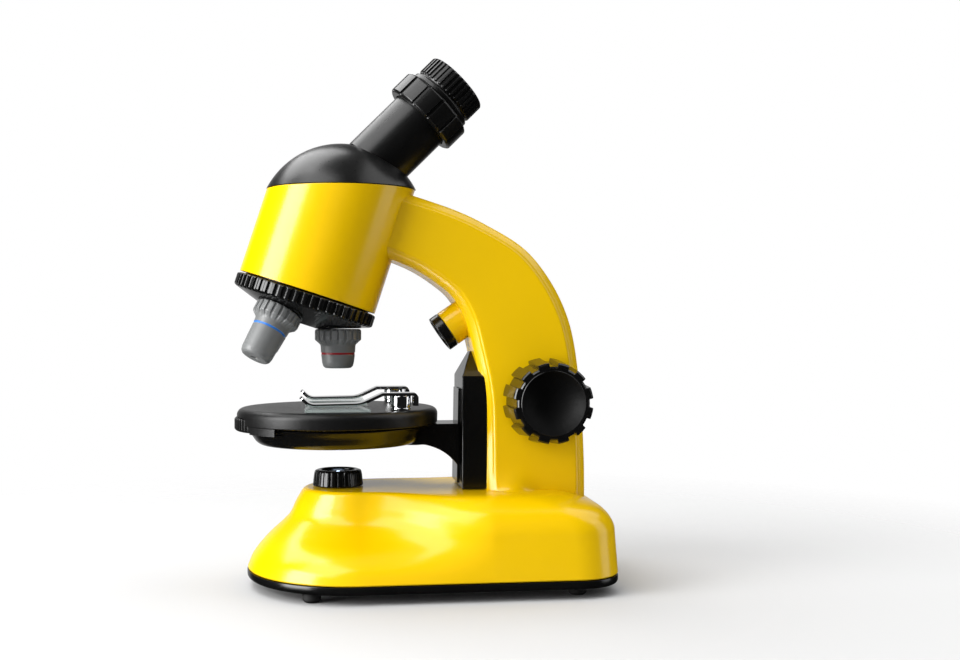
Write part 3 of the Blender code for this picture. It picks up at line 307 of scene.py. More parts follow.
def soften(bm, edge, steps=2, least_angle=25.0):
    """Round off every edge that is sharper than least_angle."""
    sharp = [line for line in bm.edges
             if len(line.link_faces) == 2 and line.calc_face_angle() > math.radians(least_angle)]
    bmesh.ops.bevel(bm, geom=sharp, offset=edge, segments=steps, profile=0.5, affect="EDGES",
                    clamp_overlap=True)
    return outward(bm)


def prism(outline, half, edge=0.4):
    """Outline in X and Z, thickened both ways along Y, with rounded edges."""
    return soften(skin([[(x, y, z) for x, z in outline] for y in (-half, half)]), edge)


def turn(degrees, axis):
    return Matrix.Rotation(math.radians(degrees), 4, axis)


def moved(bm, matrix):
    bmesh.ops.transform(bm, matrix=matrix, verts=bm.verts)
    return bm


def together(*shapes):
    """Several meshes as one."""
    whole = bmesh.new()
    for shape in shapes:
        mesh = bpy.data.meshes.new("shape")
        shape.to_mesh(mesh)
        shape.free()
        whole.from_mesh(mesh)
        bpy.data.meshes.remove(mesh)
    return whole


def placed(name, data):
    """A new object in the scene."""
    made = bpy.data.objects.new(name, data)
    bpy.context.scene.collection.objects.link(made)
    return made


def mesh_of(bm, name):
    bmesh.ops.scale(bm, vec=(MM, MM, MM), verts=bm.verts)
    mesh = bpy.data.meshes.new(name)
    bm.to_mesh(mesh)
    bm.free()
    return mesh


def shade(mesh, angle=38.0):
    mesh.shade_smooth()
    mesh.set_sharp_from_angle(angle=math.radians(angle))


def carve(bm, *cutters):
    """bm without the cutters, as a mesh in millimetres again."""
    holders = [placed("carve", mesh_of(shape, "carve")) for shape in (bm, *cutters)]
    for tool in holders[1:]:
        step = holders[0].modifiers.new("cut", "BOOLEAN")
        step.operation = "DIFFERENCE"
        step.solver = "EXACT"
        step.object = tool
    seen = holders[0].evaluated_get(bpy.context.evaluated_depsgraph_get())
    result = bmesh.new()
    result.from_mesh(seen.to_mesh())
    bmesh.ops.scale(result, vec=(1 / MM, 1 / MM, 1 / MM), verts=result.verts)
    for holder in holders:
        bpy.data.objects.remove(holder, do_unlink=True)
    return result


# ------------ pieces and their frames
BODIES = frame["record"]["behaviour"]["bodies"]
BODY_OF = {node: body for body, nodes in BODIES.items() for node in nodes}
SLOT_OF = {row["node"]: row["material_slot"] for row in frame["record"]["subparts"]}


def piece(node, bm, finish="black_gloss", place=STAND, extra=(), angle=38.0):
    """A finished piece that stands for the frame node of the same name."""
    made = placed(f"{node}_skin", mesh_of(bm, node))
    made.matrix_world = place
    for name in (finish, *extra):
        made.data.materials.append(FINISH[name])
    shade(made.data, angle)
    normals = made.modifiers.new("normals", "WEIGHTED_NORMAL")
    normals.keep_sharp = True
    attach(made, BODY_OF[node])
    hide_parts(node)
    return made


def axis_place(x, y, z, *turns):
    """Frame at a point of the stand, turned about its own axes in turn."""
    place = STAND @ Matrix.Translation(Vector((x, y, z)) * MM)
    for degrees, axis in turns:
        place = place @ turn(degrees, axis)
    return place


TURRET_PLACE = axis_place(0, 0, PIVOT.z, (TURRET_TILT, "Y"))
EYEPIECE_PLACE = axis_place(0, 0, PIVOT.z, (EYEPIECE_TILT, "Y"))
SIDE_LAMP_PLACE = axis_place(*SIDE_LAMP_FACE, (SIDE_LAMP_TILT, "Y"))


def seat_place(around):
    return axis_place(0, 0, PIVOT.z, (TURRET_TILT, "Y"), (around, "Z"), (-TURRET_TILT, "Y"))


# ------------ materials
class Nodes:
    """Adds and links shader nodes in one material."""

    def __init__(self, name):
        self.material = bpy.data.materials.new(name)
        self.material.use_nodes = True
        self.tree = self.material.node_tree
        self.shader = self.tree.nodes["Principled BSDF"]
        self.place = self.add("ShaderNodeTexCoord").outputs["Object"]

    def add(self, kind, **settings):
        node = self.tree.nodes.new(kind)
        for key, value in settings.items():
            setattr(node, key, value)
        return node

    def link(self, source, target):
        self.tree.links.new(source, target)

    def stretched(self, scale):
        mapping = self.add("ShaderNodeMapping")
        mapping.inputs["Scale"].default_value = scale
        self.link(self.place, mapping.inputs["Vector"])
        return mapping.outputs["Vector"]

    def noise(self, size_mm, detail=2.0, rough=0.5, vector=None):
        noise = self.add("ShaderNodeTexNoise")
        noise.inputs["Scale"].default_value = 1.0 / (size_mm * MM)
        noise.inputs["Detail"].default_value = detail
        noise.inputs["Roughness"].default_value = rough
        self.link(vector or self.place, noise.inputs["Vector"])
        return noise.outputs["Fac"]

    def mapped(self, source, low, high, start=0.3, stop=0.7):
        ranged = self.add("ShaderNodeMapRange")
        for key, value in (("From Min", start), ("From Max", stop), ("To Min", low), ("To Max", high)):
            ranged.inputs[key].default_value = value
        self.link(source, ranged.inputs["Value"])
        return ranged.outputs["Result"]

    def mixed(self, factor, first, second):
        mix = self.add("ShaderNodeMix", data_type="RGBA")
        for socket, value in (("A", first), ("B", second)):
            target = [entry for entry in mix.inputs if entry.name == socket and entry.type == "RGBA"][0]
            if isinstance(value, tuple):
                target.default_value = (*value, 1.0)
            else:
                self.link(value, target)
        self.link(factor, mix.inputs[0])
        return [entry for entry in mix.outputs if entry.type == "RGBA"][0]

    def edges(self, strength):
        """Mask of the edges, from how far a rounded normal turns away from the true one."""
        soft = self.add("ShaderNodeBevel", samples=4)
        soft.inputs["Radius"].default_value = 0.35 * MM
        match = self.add("ShaderNodeVectorMath", operation="DOT_PRODUCT")
        self.link(soft.outputs["Normal"], match.inputs[0])
        self.link(self.add("ShaderNodeNewGeometry").outputs["Normal"], match.inputs[1])
        return self.mapped(match.outputs["Value"], strength, 0.0, 0.9, 0.99)

    def bump(self, height, depth_mm, below=None):
        bump = self.add("ShaderNodeBump")
        bump.inputs["Distance"].default_value = depth_mm * MM
        bump.inputs["Strength"].default_value = 1.0
        self.link(height, bump.inputs["Height"])
        if below:
            self.link(below, bump.inputs["Normal"])
        return bump.outputs["Normal"]


def scaled(colour, factor):
    return tuple(min(1.0, channel * factor) for channel in colour)


def moulded(name, colour, rough, grain=(0.5, 0.004), ripple=(7.0, 0.01), tint=0.05, metallic=0.0,
            wear=0.0, worn=(0.009, 0.009, 0.009), coat=0.0, shine=0.5):
    """Moulded or drawn surface: broad tint, worn edges, fine grain and a slow ripple.

    grain and ripple are (size, height) pairs in millimetres.
    """
    made = Nodes(name)
    shader = made.shader
    broad = made.noise(26.0, 3.0)
    tone = made.mixed(made.mapped(broad, 0.0, 1.0), scaled(colour, 1 - tint), scaled(colour, 1 + tint))
    if wear:
        tone = made.mixed(made.edges(wear), tone, worn)
    made.link(tone, shader.inputs["Base Color"])
    streaks = made.noise(1.2, 4.0, 0.6, made.stretched((1.0, 1.0, 0.12)))
    made.link(made.mapped(streaks, rough * 0.9, rough * 1.12), shader.inputs["Roughness"])
    fine = made.bump(made.noise(grain[0], 2.0, 0.6), grain[1])
    made.link(made.bump(made.noise(ripple[0], 1.0), ripple[1], fine), shader.inputs["Normal"])
    shader.inputs["Metallic"].default_value = metallic
    shader.inputs["Specular IOR Level"].default_value = shine
    if coat:
        shader.inputs["Coat Weight"].default_value = coat
        shader.inputs["Coat Roughness"].default_value = 0.06
    return made.material


def clear(name, colour, rough=0.03, alpha=0.35, glow=None, glow_strength=0.0):
    """Clear or tinted piece with faint flow marks; it may glow."""
    made = Nodes(name)
    shader = made.shader
    tone = made.mixed(made.mapped(made.noise(3.0), 0.0, 1.0), scaled(colour, 0.94), colour)
    made.link(tone, shader.inputs["Base Color"])
    made.link(made.mapped(made.noise(0.8), rough * 0.7, rough * 1.5), shader.inputs["Roughness"])
    made.link(made.bump(made.noise(4.0), 0.004), shader.inputs["Normal"])
    shader.inputs["Alpha"].default_value = alpha
    if glow:
        shader.inputs["Emission Color"].default_value = (*glow, 1.0)
        shader.inputs["Emission Strength"].default_value = glow_strength
    return made.material


def make_finishes():
    """Every material by name; the frame's material slots use the same names."""
    finish = {}

    def solid(name, *values, **extras):
        finish[name] = moulded(name, *values, **extras)

    def glassy(name, *values):
        finish[name] = clear(name, *values)

    black = (0.0035, 0.0035, 0.0035)
    solid("yellow_shell", (0.80, 0.50, 0.0), 0.2, (0.6, 0.0008), (9.0, 0.004), 0.02, wear=0.5,
          worn=(0.84, 0.56, 0.03))
    solid("black_gloss", black, 0.2, (0.5, 0.0006), (6.0, 0.002), 0.2, wear=0.6)
    solid("black_satin", black, 0.3, (0.3, 0.0006), (9.0, 0.002), 0.15, wear=0.5)
    solid("black_dish", black, 0.5, (0.5, 0.0006), (6.0, 0.002), 0.2, shine=0.12)
    solid("black_grained", (0.005, 0.005, 0.005), 0.36, (0.4, 0.045), (5.0, 0.004), 0.15, wear=0.4,
          shine=0.34)
    solid("foot_rubber", (0.01, 0.01, 0.01), 0.7, (0.4, 0.02), (2.5, 0.01), 0.2)
    solid("objective_grey", (0.165, 0.17, 0.17), 0.36, (0.35, 0.004), (4.0, 0.003), wear=0.6,
          worn=(0.3, 0.3, 0.3))
    solid("clip_chrome", (0.80, 0.81, 0.82), 0.06, (0.5, 0.0006), (6.0, 0.004), 0.03, 1.0)
    solid("steel", (0.52, 0.52, 0.53), 0.3, (0.3, 0.003), (3.0, 0.004), 0.08, 1.0)
    solid("white_nylon", (0.74, 0.73, 0.68), 0.45, (0.5, 0.004), (4.0, 0.006), 0.04)
    solid("mirror_face", (0.9, 0.9, 0.92), 0.03, (0.5, 0.0003), (8.0, 0.001), 0.01, 1.0)
    solid("board_green", (0.02, 0.15, 0.05), 0.4, (0.8, 0.02), (3.0, 0.01), 0.2)
    solid("cell_wrap", (0.04, 0.10, 0.20), 0.25, (0.6, 0.002), (5.0, 0.006), 0.1)
    solid("lens_dark", (0.02, 0.03, 0.03), 0.06, (0.5, 0.0005), (6.0, 0.002), 0.2, coat=1.0)
    for name, colour in (("red", (0.30, 0.005, 0.012)), ("blue", (0.02, 0.16, 0.55)),
                         ("yellow", (0.7, 0.45, 0.01))):
        solid(f"ring_{name}", colour, 0.35)
    glassy("clear_lens", (0.05, 0.06, 0.07), 0.03, 0.3)
    glassy("slide_glass", (0.42, 0.50, 0.48), 0.02, 0.4)
    glassy("led_clear", (0.85, 0.92, 1.0), 0.08, 1.0, (0.6, 0.75, 1.0), 10.0)
    glassy("led_off", (0.35, 0.42, 0.38), 0.08, 1.0)
    for name, colour in (("red", (0.7, 0.03, 0.03)), ("green", (0.03, 0.5, 0.08)),
                         ("blue", (0.03, 0.1, 0.7)), ("yellow", (0.8, 0.6, 0.03))):
        glassy(f"filter_{name}", colour, 0.08, 0.5)
    return finish


FINISH = make_finishes()


# ------------ base
def heel_drop(height):
    """Share of the shoulder's full width at a height: a quarter round down from the deck."""
    rise = max(0.0, (height - SHOULDER) / (DECK - SHOULDER))
    return math.sqrt(max(0.0, 1.0 - rise ** 2))


def sag_at(x, z):
    """How far the deck falls at a place; nothing at the toe and on the flanks."""
    return DECK_SAG * ease((x - SAG_START_X) / SAG_RUN) * ease((z - SAG_FOOT) / SAG_RISE)


def base_outline(height, grow=0.0):
    """Plan of the base at a height: a wide rounded toe, flaring flanks and a square heel."""
    toe = value_at(TOE_LINE, height) - grow
    flank = value_at(FLANK_LINE, height) + grow
    drop = heel_drop(height)
    lean = 1.6 * (min(height, SHOULDER) - SHELL_FOOT) / (SHOULDER - SHELL_FOOT)
    rear = DECK_REAR_HALF + (SKIRT_HALF - lean - DECK_REAR_HALF) * drop + grow
    heel = HEEL_DECK_X + (HEEL_X - 0.6 * lean - HEEL_DECK_X) * drop + grow
    corner = DECK_CORNER + grow
    front_steps, flank_steps, corner_steps = 36, 28, 28
    side = []
    for step in range(front_steps):
        x_share, y_share = polar(1.0, 180.0 - 90.0 * step / front_steps)
        side.append((FRONT_CENTRE_X + (FRONT_CENTRE_X - toe) * x_share, -flank * y_share))
    for step in range(flank_steps):
        t = step / flank_steps
        side.append((FRONT_CENTRE_X + (FLANK_END_X - FRONT_CENTRE_X) * t,
                     -(flank + (rear - flank) * ease(t))))
    for step in range(corner_steps + 1):
        x_share, y_share = polar(1.0, 90.0 - 90.0 * step / corner_steps)
        side.append((heel - corner + corner * max(0.0, x_share) ** 0.9,
                     -(rear - corner + corner * max(0.0, y_share) ** 0.9)))
    side[0] = (toe, 0.0)
    far = [(x, -y) for x, y in reversed(side[1:])]
    return side + far


def base_ring(height, grow=0.0):
    return [(x, y, height) for x, y in base_outline(height, grow)]


def base_outer_rings():
    """Rings of the shell's outside, from its foot to the deck."""
    edge_foot, levels, edge_steps = DECK - DECK_EDGE, 44, 6
    rings = [base_ring(SHELL_FOOT, -0.5), base_ring(SHELL_FOOT + 0.5)]
    for step in range(1, levels):
        rings.append(base_ring(SHELL_FOOT + (edge_foot - SHELL_FOOT) * step / (levels - 1)))
    for step in range(1, edge_steps + 1):
        across, up = polar(DECK_EDGE, 90.0 * step / edge_steps)
        rings.append(base_ring(edge_foot + up, across - DECK_EDGE))
    return rings


def make_base_shell():
    outer = base_outer_rings()
    inner_heights = (DECK - SHELL_WALL, 34.0, 29.0, 22.0, 14.0, SHELL_FOOT)
    inner = [base_ring(height, -SHELL_WALL) for height in inner_heights]
    bm = bmesh.new()
    rows = [add_row(bm, ring) for ring in outer + inner]
    for index, (lower, upper) in enumerate(zip(rows, rows[1:] + rows[:1])):
        if index == len(outer) - 1:
            bm.faces.new(lower)
            bm.faces.new(upper)
        else:
            bridge(bm, lower, upper)
    outward(bm)
    for vert in bm.verts:
        vert.co.z -= sag_at(vert.co.x, vert.co.z)
    window = block((HEEL_X - 6, -4.7, SWITCH_Z - 2.4), (HEEL_X + 4, 4.7, SWITCH_Z + 2.4), 0.3)
    piece("base_shell", carve(bm, window), "yellow_shell")


def make_base_plate():
    foot, top, edge, edge_steps = PLATE_FOOT, PLATE_TOP, 1.6, 5
    rings = []
    for step in range(edge_steps + 1):
        across, up = polar(edge, 90.0 * step / edge_steps - 90.0)
        rings.append([(x, y, foot + edge + up) for x, y in base_outline(SHELL_FOOT, across - edge)])
    for height, grow in ((top - 0.5, 0.0), (top - 0.15, -0.15), (top, -0.5)):
        rings.append([(x, y, height) for x, y in base_outline(SHELL_FOOT, grow)])
    low, high = span("battery_door")
    low -= Vector((GAP, GAP, 0))
    high += Vector((GAP, GAP, 0))
    plate = carve(skin(rings), block((low.x, low.y, foot - 2), (high.x, high.y, top + 2), 0.2))
    walls = block((low.x - BAY_WALL, low.y - BAY_WALL, top - 0.5),
                  (high.x + BAY_WALL, high.y + BAY_WALL, BAY_TOP), 0.4)
    hollow = block((low.x, low.y, top - 2), (high.x, high.y, BAY_TOP - BAY_WALL), 0.2)
    piece("base_plate", together(plate, carve(walls, hollow)))


def make_feet():
    for node in ("foot_front_left", "foot_front_right", "foot_rear_left", "foot_rear_right"):
        low, high = span(node)
        radius = (high.x - low.x) / 2
        foot = solid_turned([(0, 4.2), (radius, 4.2), (radius, 1.0), (radius - 1.0, 0.0), (1.6, 0.0),
                             (1.2, 0.5), (0, 0.5)], 0.4, 40)
        centre = (low + high) / 2
        piece(node, foot, "foot_rubber", axis_place(centre.x, centre.y, 0))


def make_door():
    low, high = span("battery_door")
    panel = block(low, high, 0.5)
    ribs = []
    for step in range(7):
        x = low.x + 5.0 + 1.8 * step
        ribs.append(block((x, -8, low.z - 0.3), (x + 0.8, 8, low.z + 0.6), 0.2))
    screw_low, screw_high = span("battery_door_screw")
    x = (screw_low.x + screw_high.x) / 2
    sink = moved(rod(3.4, 3.0, 4.9), Matrix.Translation((x, 0, 0)))
    piece("battery_door", carve(together(panel, *ribs), sink))
    head = cross_screw(3.0, 1.4)
    piece("battery_door_screw", head, "steel", axis_place(x, 0, screw_low.z + 0.6, (180, "X")))


def cross_screw(radius, height):
    """Pan head of a screw with a cross recess, its face towards +Z, and a short shank."""
    head = solid_turned([(0, -4.0), (radius * 0.45, -4.0), (radius * 0.45, -height), (radius, -height),
                         (radius, -0.3), (radius * 0.7, 0.0), (0, 0.1)], 0.25, 40)
    arms = [block((-radius * 0.6, -0.3, -0.7), (radius * 0.6, 0.3, 0.6), 0.05),
            block((-0.3, -radius * 0.6, -0.7), (0.3, radius * 0.6, 0.6), 0.05)]
    return carve(head, *arms)


def make_deck_lamp():
    low, high = span("lamp_housing")
    foot, top = low.z, high.z
    bore, top_radius, foot_radius = 6.7, 9.9, 10.5
    profile = [(bore, top - 0.4), (bore + 0.9, top), (top_radius - 1.4, top, 0.0),
               (top_radius - 0.3, top - 0.5, 0.8), (top_radius, top - 1.5, 1.0), (foot_radius, foot, 1.0),
               (bore, foot)]
    ring = turned(rounded(profile, 0.6, 4), 23, GRIP_RIB, 0.45)
    piece("lamp_housing", ring)
    line = smooth_through(((0, 46.6), (2.2, 46.3), (4.6, 45.0), (6.4, 43.0), (6.4, 42.6), (0, 42.6)), 4)
    piece("lamp_lens", turned(line, 48), "clear_lens")
    made = piece("lamp_led", led(34.0, 46.2), "led_off", extra=("led_clear",))
    for face in made.data.polygons:
        if face.center.z / MM > 45.0:
            face.material_index = 1


def led(foot, tip):
    radius, collar, collar_top = 2.5, 2.9, foot + 1.0
    dome = [(0, tip)]
    for angle in range(15, 91, 15):
        up, across = polar(radius, angle)
        dome.append((across, tip - radius + up))
    body = [(radius, collar_top), (collar, collar_top), (collar, foot), (0, foot)]
    return turned([*dome, *body], 32)


def make_switch():
    low, high = span("switch_slider")
    body = block((low.x, -3.6, SWITCH_Z - 3.6), (SWITCH_FACE_X, 3.6, SWITCH_Z + 3.6), 0.3)
    grips = [block((SWITCH_FACE_X - 0.2, -2.2, SWITCH_Z - 2.0), (high.x - 0.4, 2.2, SWITCH_Z + 2.0), 0.3)]
    for step in range(3):
        y = -1.5 + 1.2 * step
        grips.append(block((high.x - 1.0, y, SWITCH_Z - 1.8), (high.x, y + 0.6, SWITCH_Z + 1.8), 0.2))
    piece("switch_slider", together(body, *grips))


# ------------ arm
def arm_half(height):
    share = (height - DECK) / (HEAD_TOP - DECK)
    return ARM_HALF_AT_DECK + (ARM_HALF_AT_HEAD - ARM_HALF_AT_DECK) * share


def shoulder_height(x):
    """Height of the base's top surface along its middle."""
    run = min(1.0, max(0.0, (x - HEEL_DECK_X) / (HEEL_X - 1.0 - HEEL_DECK_X)))
    return SHOULDER + (DECK - SHOULDER) * math.sqrt(1.0 - run ** 2)


def flare_at(x, z, along):
    """How far the foot of the arm spreads where it runs into the deck; the front band stays straight."""
    deck = shoulder_height(x) - sag_at(x, DECK) - FLARE_SINK
    rise = min(1.0, max(0.0, (z - deck) / FLARE_HEIGHT))
    ends = ease((along - FLARE_FRONT) / FLARE_FRONT_RUN) * ease((FLARE_HEEL_X - x) / FLARE_HEEL_RUN)
    return FLARE_REACH * ends * (1.0 - math.sqrt(1.0 - (1.0 - rise) ** 2))


def arm_edge(half):
    """(along, depth) points of the arm's bevelled edge: a slightly crowned band between two creases."""
    low = half - ARM_BEVEL
    corners = ((0.0, ARM_SPLIT), (0.0, low), (ARM_BEVEL, half), (ARM_BEVEL + ARM_RUN_IN, half))
    creased = [point.xy for point in rounded(corners, ARM_CREASE, 4, closed=False)][:-1]
    crown = []
    for share in (0.25, 0.5, 0.75):
        swell = ARM_CROWN * math.sin(math.pi * share)
        crown.append((ARM_BEVEL * share - swell, low + ARM_BEVEL * share + swell))
    middle = len(creased) // 2 + 1
    return [*creased[:middle], *crown, *creased[middle:]]


def arm_section(inner, outer, side):
    """Half section of the arm, from the split along its front, round its side and along its back."""
    across = outer - inner
    width = across.length
    half = arm_half((inner.y + outer.y) / 2)
    edge = arm_edge(half)
    flat_start = ARM_BEVEL + ARM_RUN_IN / 2
    flat = width - 2 * flat_start
    sides = [(flat_start + flat * step / ARM_STEPS, half) for step in range(ARM_STEPS + 1)]
    points = [*edge, *sides, *[(width - along, depth) for along, depth in reversed(edge)]]
    ring = []
    for along, depth in points:
        x, z = inner + across * (along / width)
        ring.append((x, side * (depth + flare_at(x, z, along) * (depth / half) ** 2), z))
    return ring


def make_arm():
    sections = 360
    outer = evenly(smooth_through(ARM_OUTER_LINE, 12), sections)
    inner = evenly(smooth_through(ARM_INNER_LINE, 12), sections)
    for node, side in (("arm_left_half", -1), ("arm_right_half", 1)):
        half = skin([arm_section(low, high, side) for low, high in zip(inner, outer)])
        if side > 0:
            half = carve(half, *screw_sinks())
        piece(node, together(half, lamp_stub(side)), "yellow_shell", angle=15.0)
    for node, (x, z) in zip(("arm_screw_upper", "arm_screw_lower"), ARM_SCREWS):
        piece(node, cross_screw(3.0, 1.8), "steel", axis_place(x, SCREW_FACE, z, (-90, "X")))


def screw_sinks():
    """Cutters for the two screw holes in the right side of the arm."""
    return [moved(rod(3.3, ARM_SCREW_FLOOR, 22.0), Matrix.Translation((x, 0, z)) @ turn(-90, "X"))
            for x, z in ARM_SCREWS]


def lamp_stub(side):
    """Half of the round boss that carries the side lamp, in the stand's own frame."""
    radius = SIDE_LAMP_RADIUS - 0.05
    steps = 24
    rings = []
    for depth, swell in ((4.15, -0.25), (4.4, 0.0), (14.0, 0.0), (24.0, 0.0)):
        ring = []
        for step in range(steps + 1):
            x, y = polar(radius + swell, 180.0 * step / steps)
            ring.append((x, side * (y + ARM_SPLIT), depth))
        for step in range(steps + 1):
            x, y = polar(5.5, 180.0 - 180.0 * step / steps)
            ring.append((x, side * (y + ARM_SPLIT), depth))
        rings.append(ring)
    return moved(skin(rings), Matrix.Translation(SIDE_LAMP_FACE) @ turn(SIDE_LAMP_TILT, "Y"))


def make_side_lamp():
    radius = SIDE_LAMP_RADIUS
    ring = rounded([(6.0, 3.9), (radius, 3.9), (radius, 0.0), (radius - 1.0, -0.1), (6.0, 0.6)], 0.35)
    piece("side_lamp_bezel", turned(ring, 72), "black_gloss", SIDE_LAMP_PLACE)
    lens = smooth_through(((0, 0.6), (3.0, 0.8), (5.9, 1.4), (5.9, 2.2), (0, 2.2)), 4)
    piece("side_lamp_lens", turned(lens, 48), "clear_lens", SIDE_LAMP_PLACE)
    lamp = moved(led(3.6, 12.0), Matrix.Translation((0, 0, 15.0)) @ turn(180, "X"))
    piece("side_lamp_led", lamp, "led_off", SIDE_LAMP_PLACE)


def make_column():
    rings = []
    for height, front, back, width in ((DECK + GAP - DECK_SAG, COLUMN_FRONT, COLUMN_REAR, COLUMN_HALF),
                                       (COLUMN_EAVES, COLUMN_FRONT, COLUMN_REAR, COLUMN_HALF),
                                       (COLUMN_RIDGE, 55.0, 57.5, 3.5)):
        rings.append([(front, -width, height), (back, -width, height), (back, width, height),
                      (front, width, height)])
    cover = soften(skin(rings), 0.45, 3, 10.0)
    slot = block((46, -4, 45.5), (56, 4, 80.4), 0.2)
    piece("column_cover", carve(cover, slot))


# ------------ stage
def wheel_space():
    """What the filter wheel sweeps, with its clearance."""
    sweep = rod(WHEEL_RADIUS + 2 * GAP, WHEEL_FOOT - GAP, WHEEL_TOP + GAP, 120)
    return moved(sweep, Matrix.Translation((WHEEL_X, 0, 0)))


def make_stage():
    top, radius, round_off = STAGE_TOP, STAGE_RADIUS, 2.8
    hole, web_foot, inner = 8.0, 70.0, STAGE_RADIUS - 4.2
    corner = []
    for step in range(11):
        across, up = polar(round_off, 9.0 * step)
        corner.append((radius - round_off + across, top - round_off + up))
    rim = rounded([(hole + 0.4, top), (hole, top - 0.4), (hole, web_foot), (inner, web_foot),
                   (inner, RIM_FOOT), (radius - 0.5, RIM_FOOT), (radius - 0.1, RIM_FOOT + 0.5)],
                  0.25, 3, closed=False)
    skirt = turned([(inner, RIM_FOOT + 0.4), (radius - 0.5, RIM_FOOT + 0.4), (radius - 0.6, 63.5),
                    (inner + 2.2, 63.5), (inner, 65.0)], 144)
    skirt = carve(skirt, wheel_space(), block((APRON_X, -60, 50), (60, 60, 80), 0.2))
    plate = carve(turned([*rim, *corner], 144), wheel_space())
    piece("stage_plate", together(plate, skirt), "black_grained")


def make_bowl():
    foot, hole = BOWL_FOOT, 8.0
    wall = rounded([(38.4, 65.7), (36.1, 62.9), (33.8, 59.4), (31.8, foot), (hole, foot), (hole, foot + 2.0),
                    (31.0, foot + 2.0), (34.2, 63.6), (36.3, 65.7)], 1.1, 5)
    piece("stage_bowl", carve(turned(wall, 144), wheel_space()))


def make_filter_wheel():
    low, high = WHEEL_FOOT, WHEEL_TOP
    web = [(26.5, 65.2), (2.7, 65.2), (2.7, 67.6), (26.5, 67.6)]
    rim = [(26.5, high), (WHEEL_RADIUS - 0.8, high), (WHEEL_RADIUS, high - 0.7, 1.0),
           (WHEEL_RADIUS, low + 0.8, 1.0), (WHEEL_RADIUS - 0.9, low), (26.5, low)]
    wheel = turned(rounded([*rim, *web], 0.35), 80, FINE_RIB, 0.6)
    holes = []
    for index in range(5):
        x, y = polar(-WHEEL_X, 72.0 * index)
        holes.append(moved(rod(5.5, 64.5, 68.5), Matrix.Translation((x, y, 0))))
    piece("filter_wheel", carve(wheel, *holes), "black_grained", axis_place(WHEEL_X, 0, 0))
    for node in ("filter_red", "filter_green", "filter_blue", "filter_yellow"):
        low, high = span(node)
        disc = solid_turned([(0, high.z), (5.2, high.z), (5.2, low.z), (0, low.z)], 0.2, 40)
        centre = (low + high) / 2
        piece(node, disc, node, axis_place(centre.x, centre.y, 0))


def clip_line():
    """Middle line of a spring clip in X and Z: tail bent down, flat top, slope, turned-up toe."""
    corners = ((5.8, 74.9), (5.8, CLIP_TOP), (-7.4, CLIP_TOP), (-16.1, 75.5), (-36.4, 75.2),
               (-40.0, 78.6))
    tail = rounded(corners[:3], 0.9, 5, closed=False)
    toe = rounded(corners[2:], 2.4, 8, closed=False)
    return [point.xy for point in tail[:-1] + toe]


def make_clip(node, y):
    line = evenly(clip_line(), 130)
    rings = []
    for index, here in enumerate(line):
        along = (line[min(index + 1, len(line) - 1)] - line[max(index - 1, 0)]).normalized()
        tail = ease((CLIP_TOP - 0.4 - here.y) / 0.8) * ease(here.x / 2.0)
        out = Vector((along.y, -along.x)) * (CLIP_THICKNESS / 2 + 0.45 * tail)
        tip = min(1.0, (line[-1] - here).length / CLIP_CORNER)
        wide = CLIP_WIDTH / 2 - CLIP_CORNER * (1.0 - math.sqrt(max(0.0, 1.0 - (1.0 - tip) ** 2)))
        over, under = here + out, here - out
        rings.append([(over.x, -wide, over.y), (over.x, wide, over.y), (under.x, wide, under.y),
                      (under.x, -wide, under.y)])
    strip = soften(skin(rings), 0.22, 2, 60.0)
    piece(node, strip, "clip_chrome", axis_place(CLIP_X, y, 0))


def make_clips():
    head, foot = CLIP_TOP, STAGE_TOP
    profile = ((0, head + 0.3), (1.8, head + 0.3), (1.8, head - 0.6), (3.8, head - 0.6), (4.0, head - 0.9),
               (4.0, foot + 1.5), (3.6, foot + 1.2), (4.1, foot + 0.9), (4.1, foot + GAP), (0, foot + GAP))
    for label, side in (("left", -1), ("right", 1)):
        make_clip(f"stage_clip_{label}", side * CLIP_Y)
        piece(f"clip_post_{label}", solid_turned(profile, 0.25, 56), "clip_chrome",
              axis_place(CLIP_X, side * CLIP_Y, 0))


def make_slide():
    low, high = span("glass_slide")
    piece("glass_slide", block(low, high, 0.12), "slide_glass")


def make_carriage():
    """Bracket under the stage, its plate on the column, and the neck and flange in the slot."""
    top = span("stage_carriage")[1].z
    reach_top, root_x = 66.1, 49.6
    under = smooth_through(((24.0, 57.6), (31.4, 57.4), (36.0, 57.4), (41.8, 55.3), (46.3, 52.1),
                            (root_x, 48.4)), 6)
    outline = [(24.0, reach_top), *[tuple(point) for point in under], (root_x, reach_top)]
    bracket = prism(outline, 9.5, 0.5)
    back, half = 50.1, 9.0
    plate = skin([[(front, -half, z), (back, -half, z), (back, half, z), (front, half, z)]
                  for z, front in ((41.4, 48.9), (top, 49.5))])
    neck = block((49.8, -3.5, 48.5), (68.0, 3.5, 66.0), 0.3)
    flange = block((52.9, -half, 48.5), (56.4, half, 70.0), 0.3)
    piece("stage_carriage", together(bracket, soften(plate, 0.3), neck, flange))


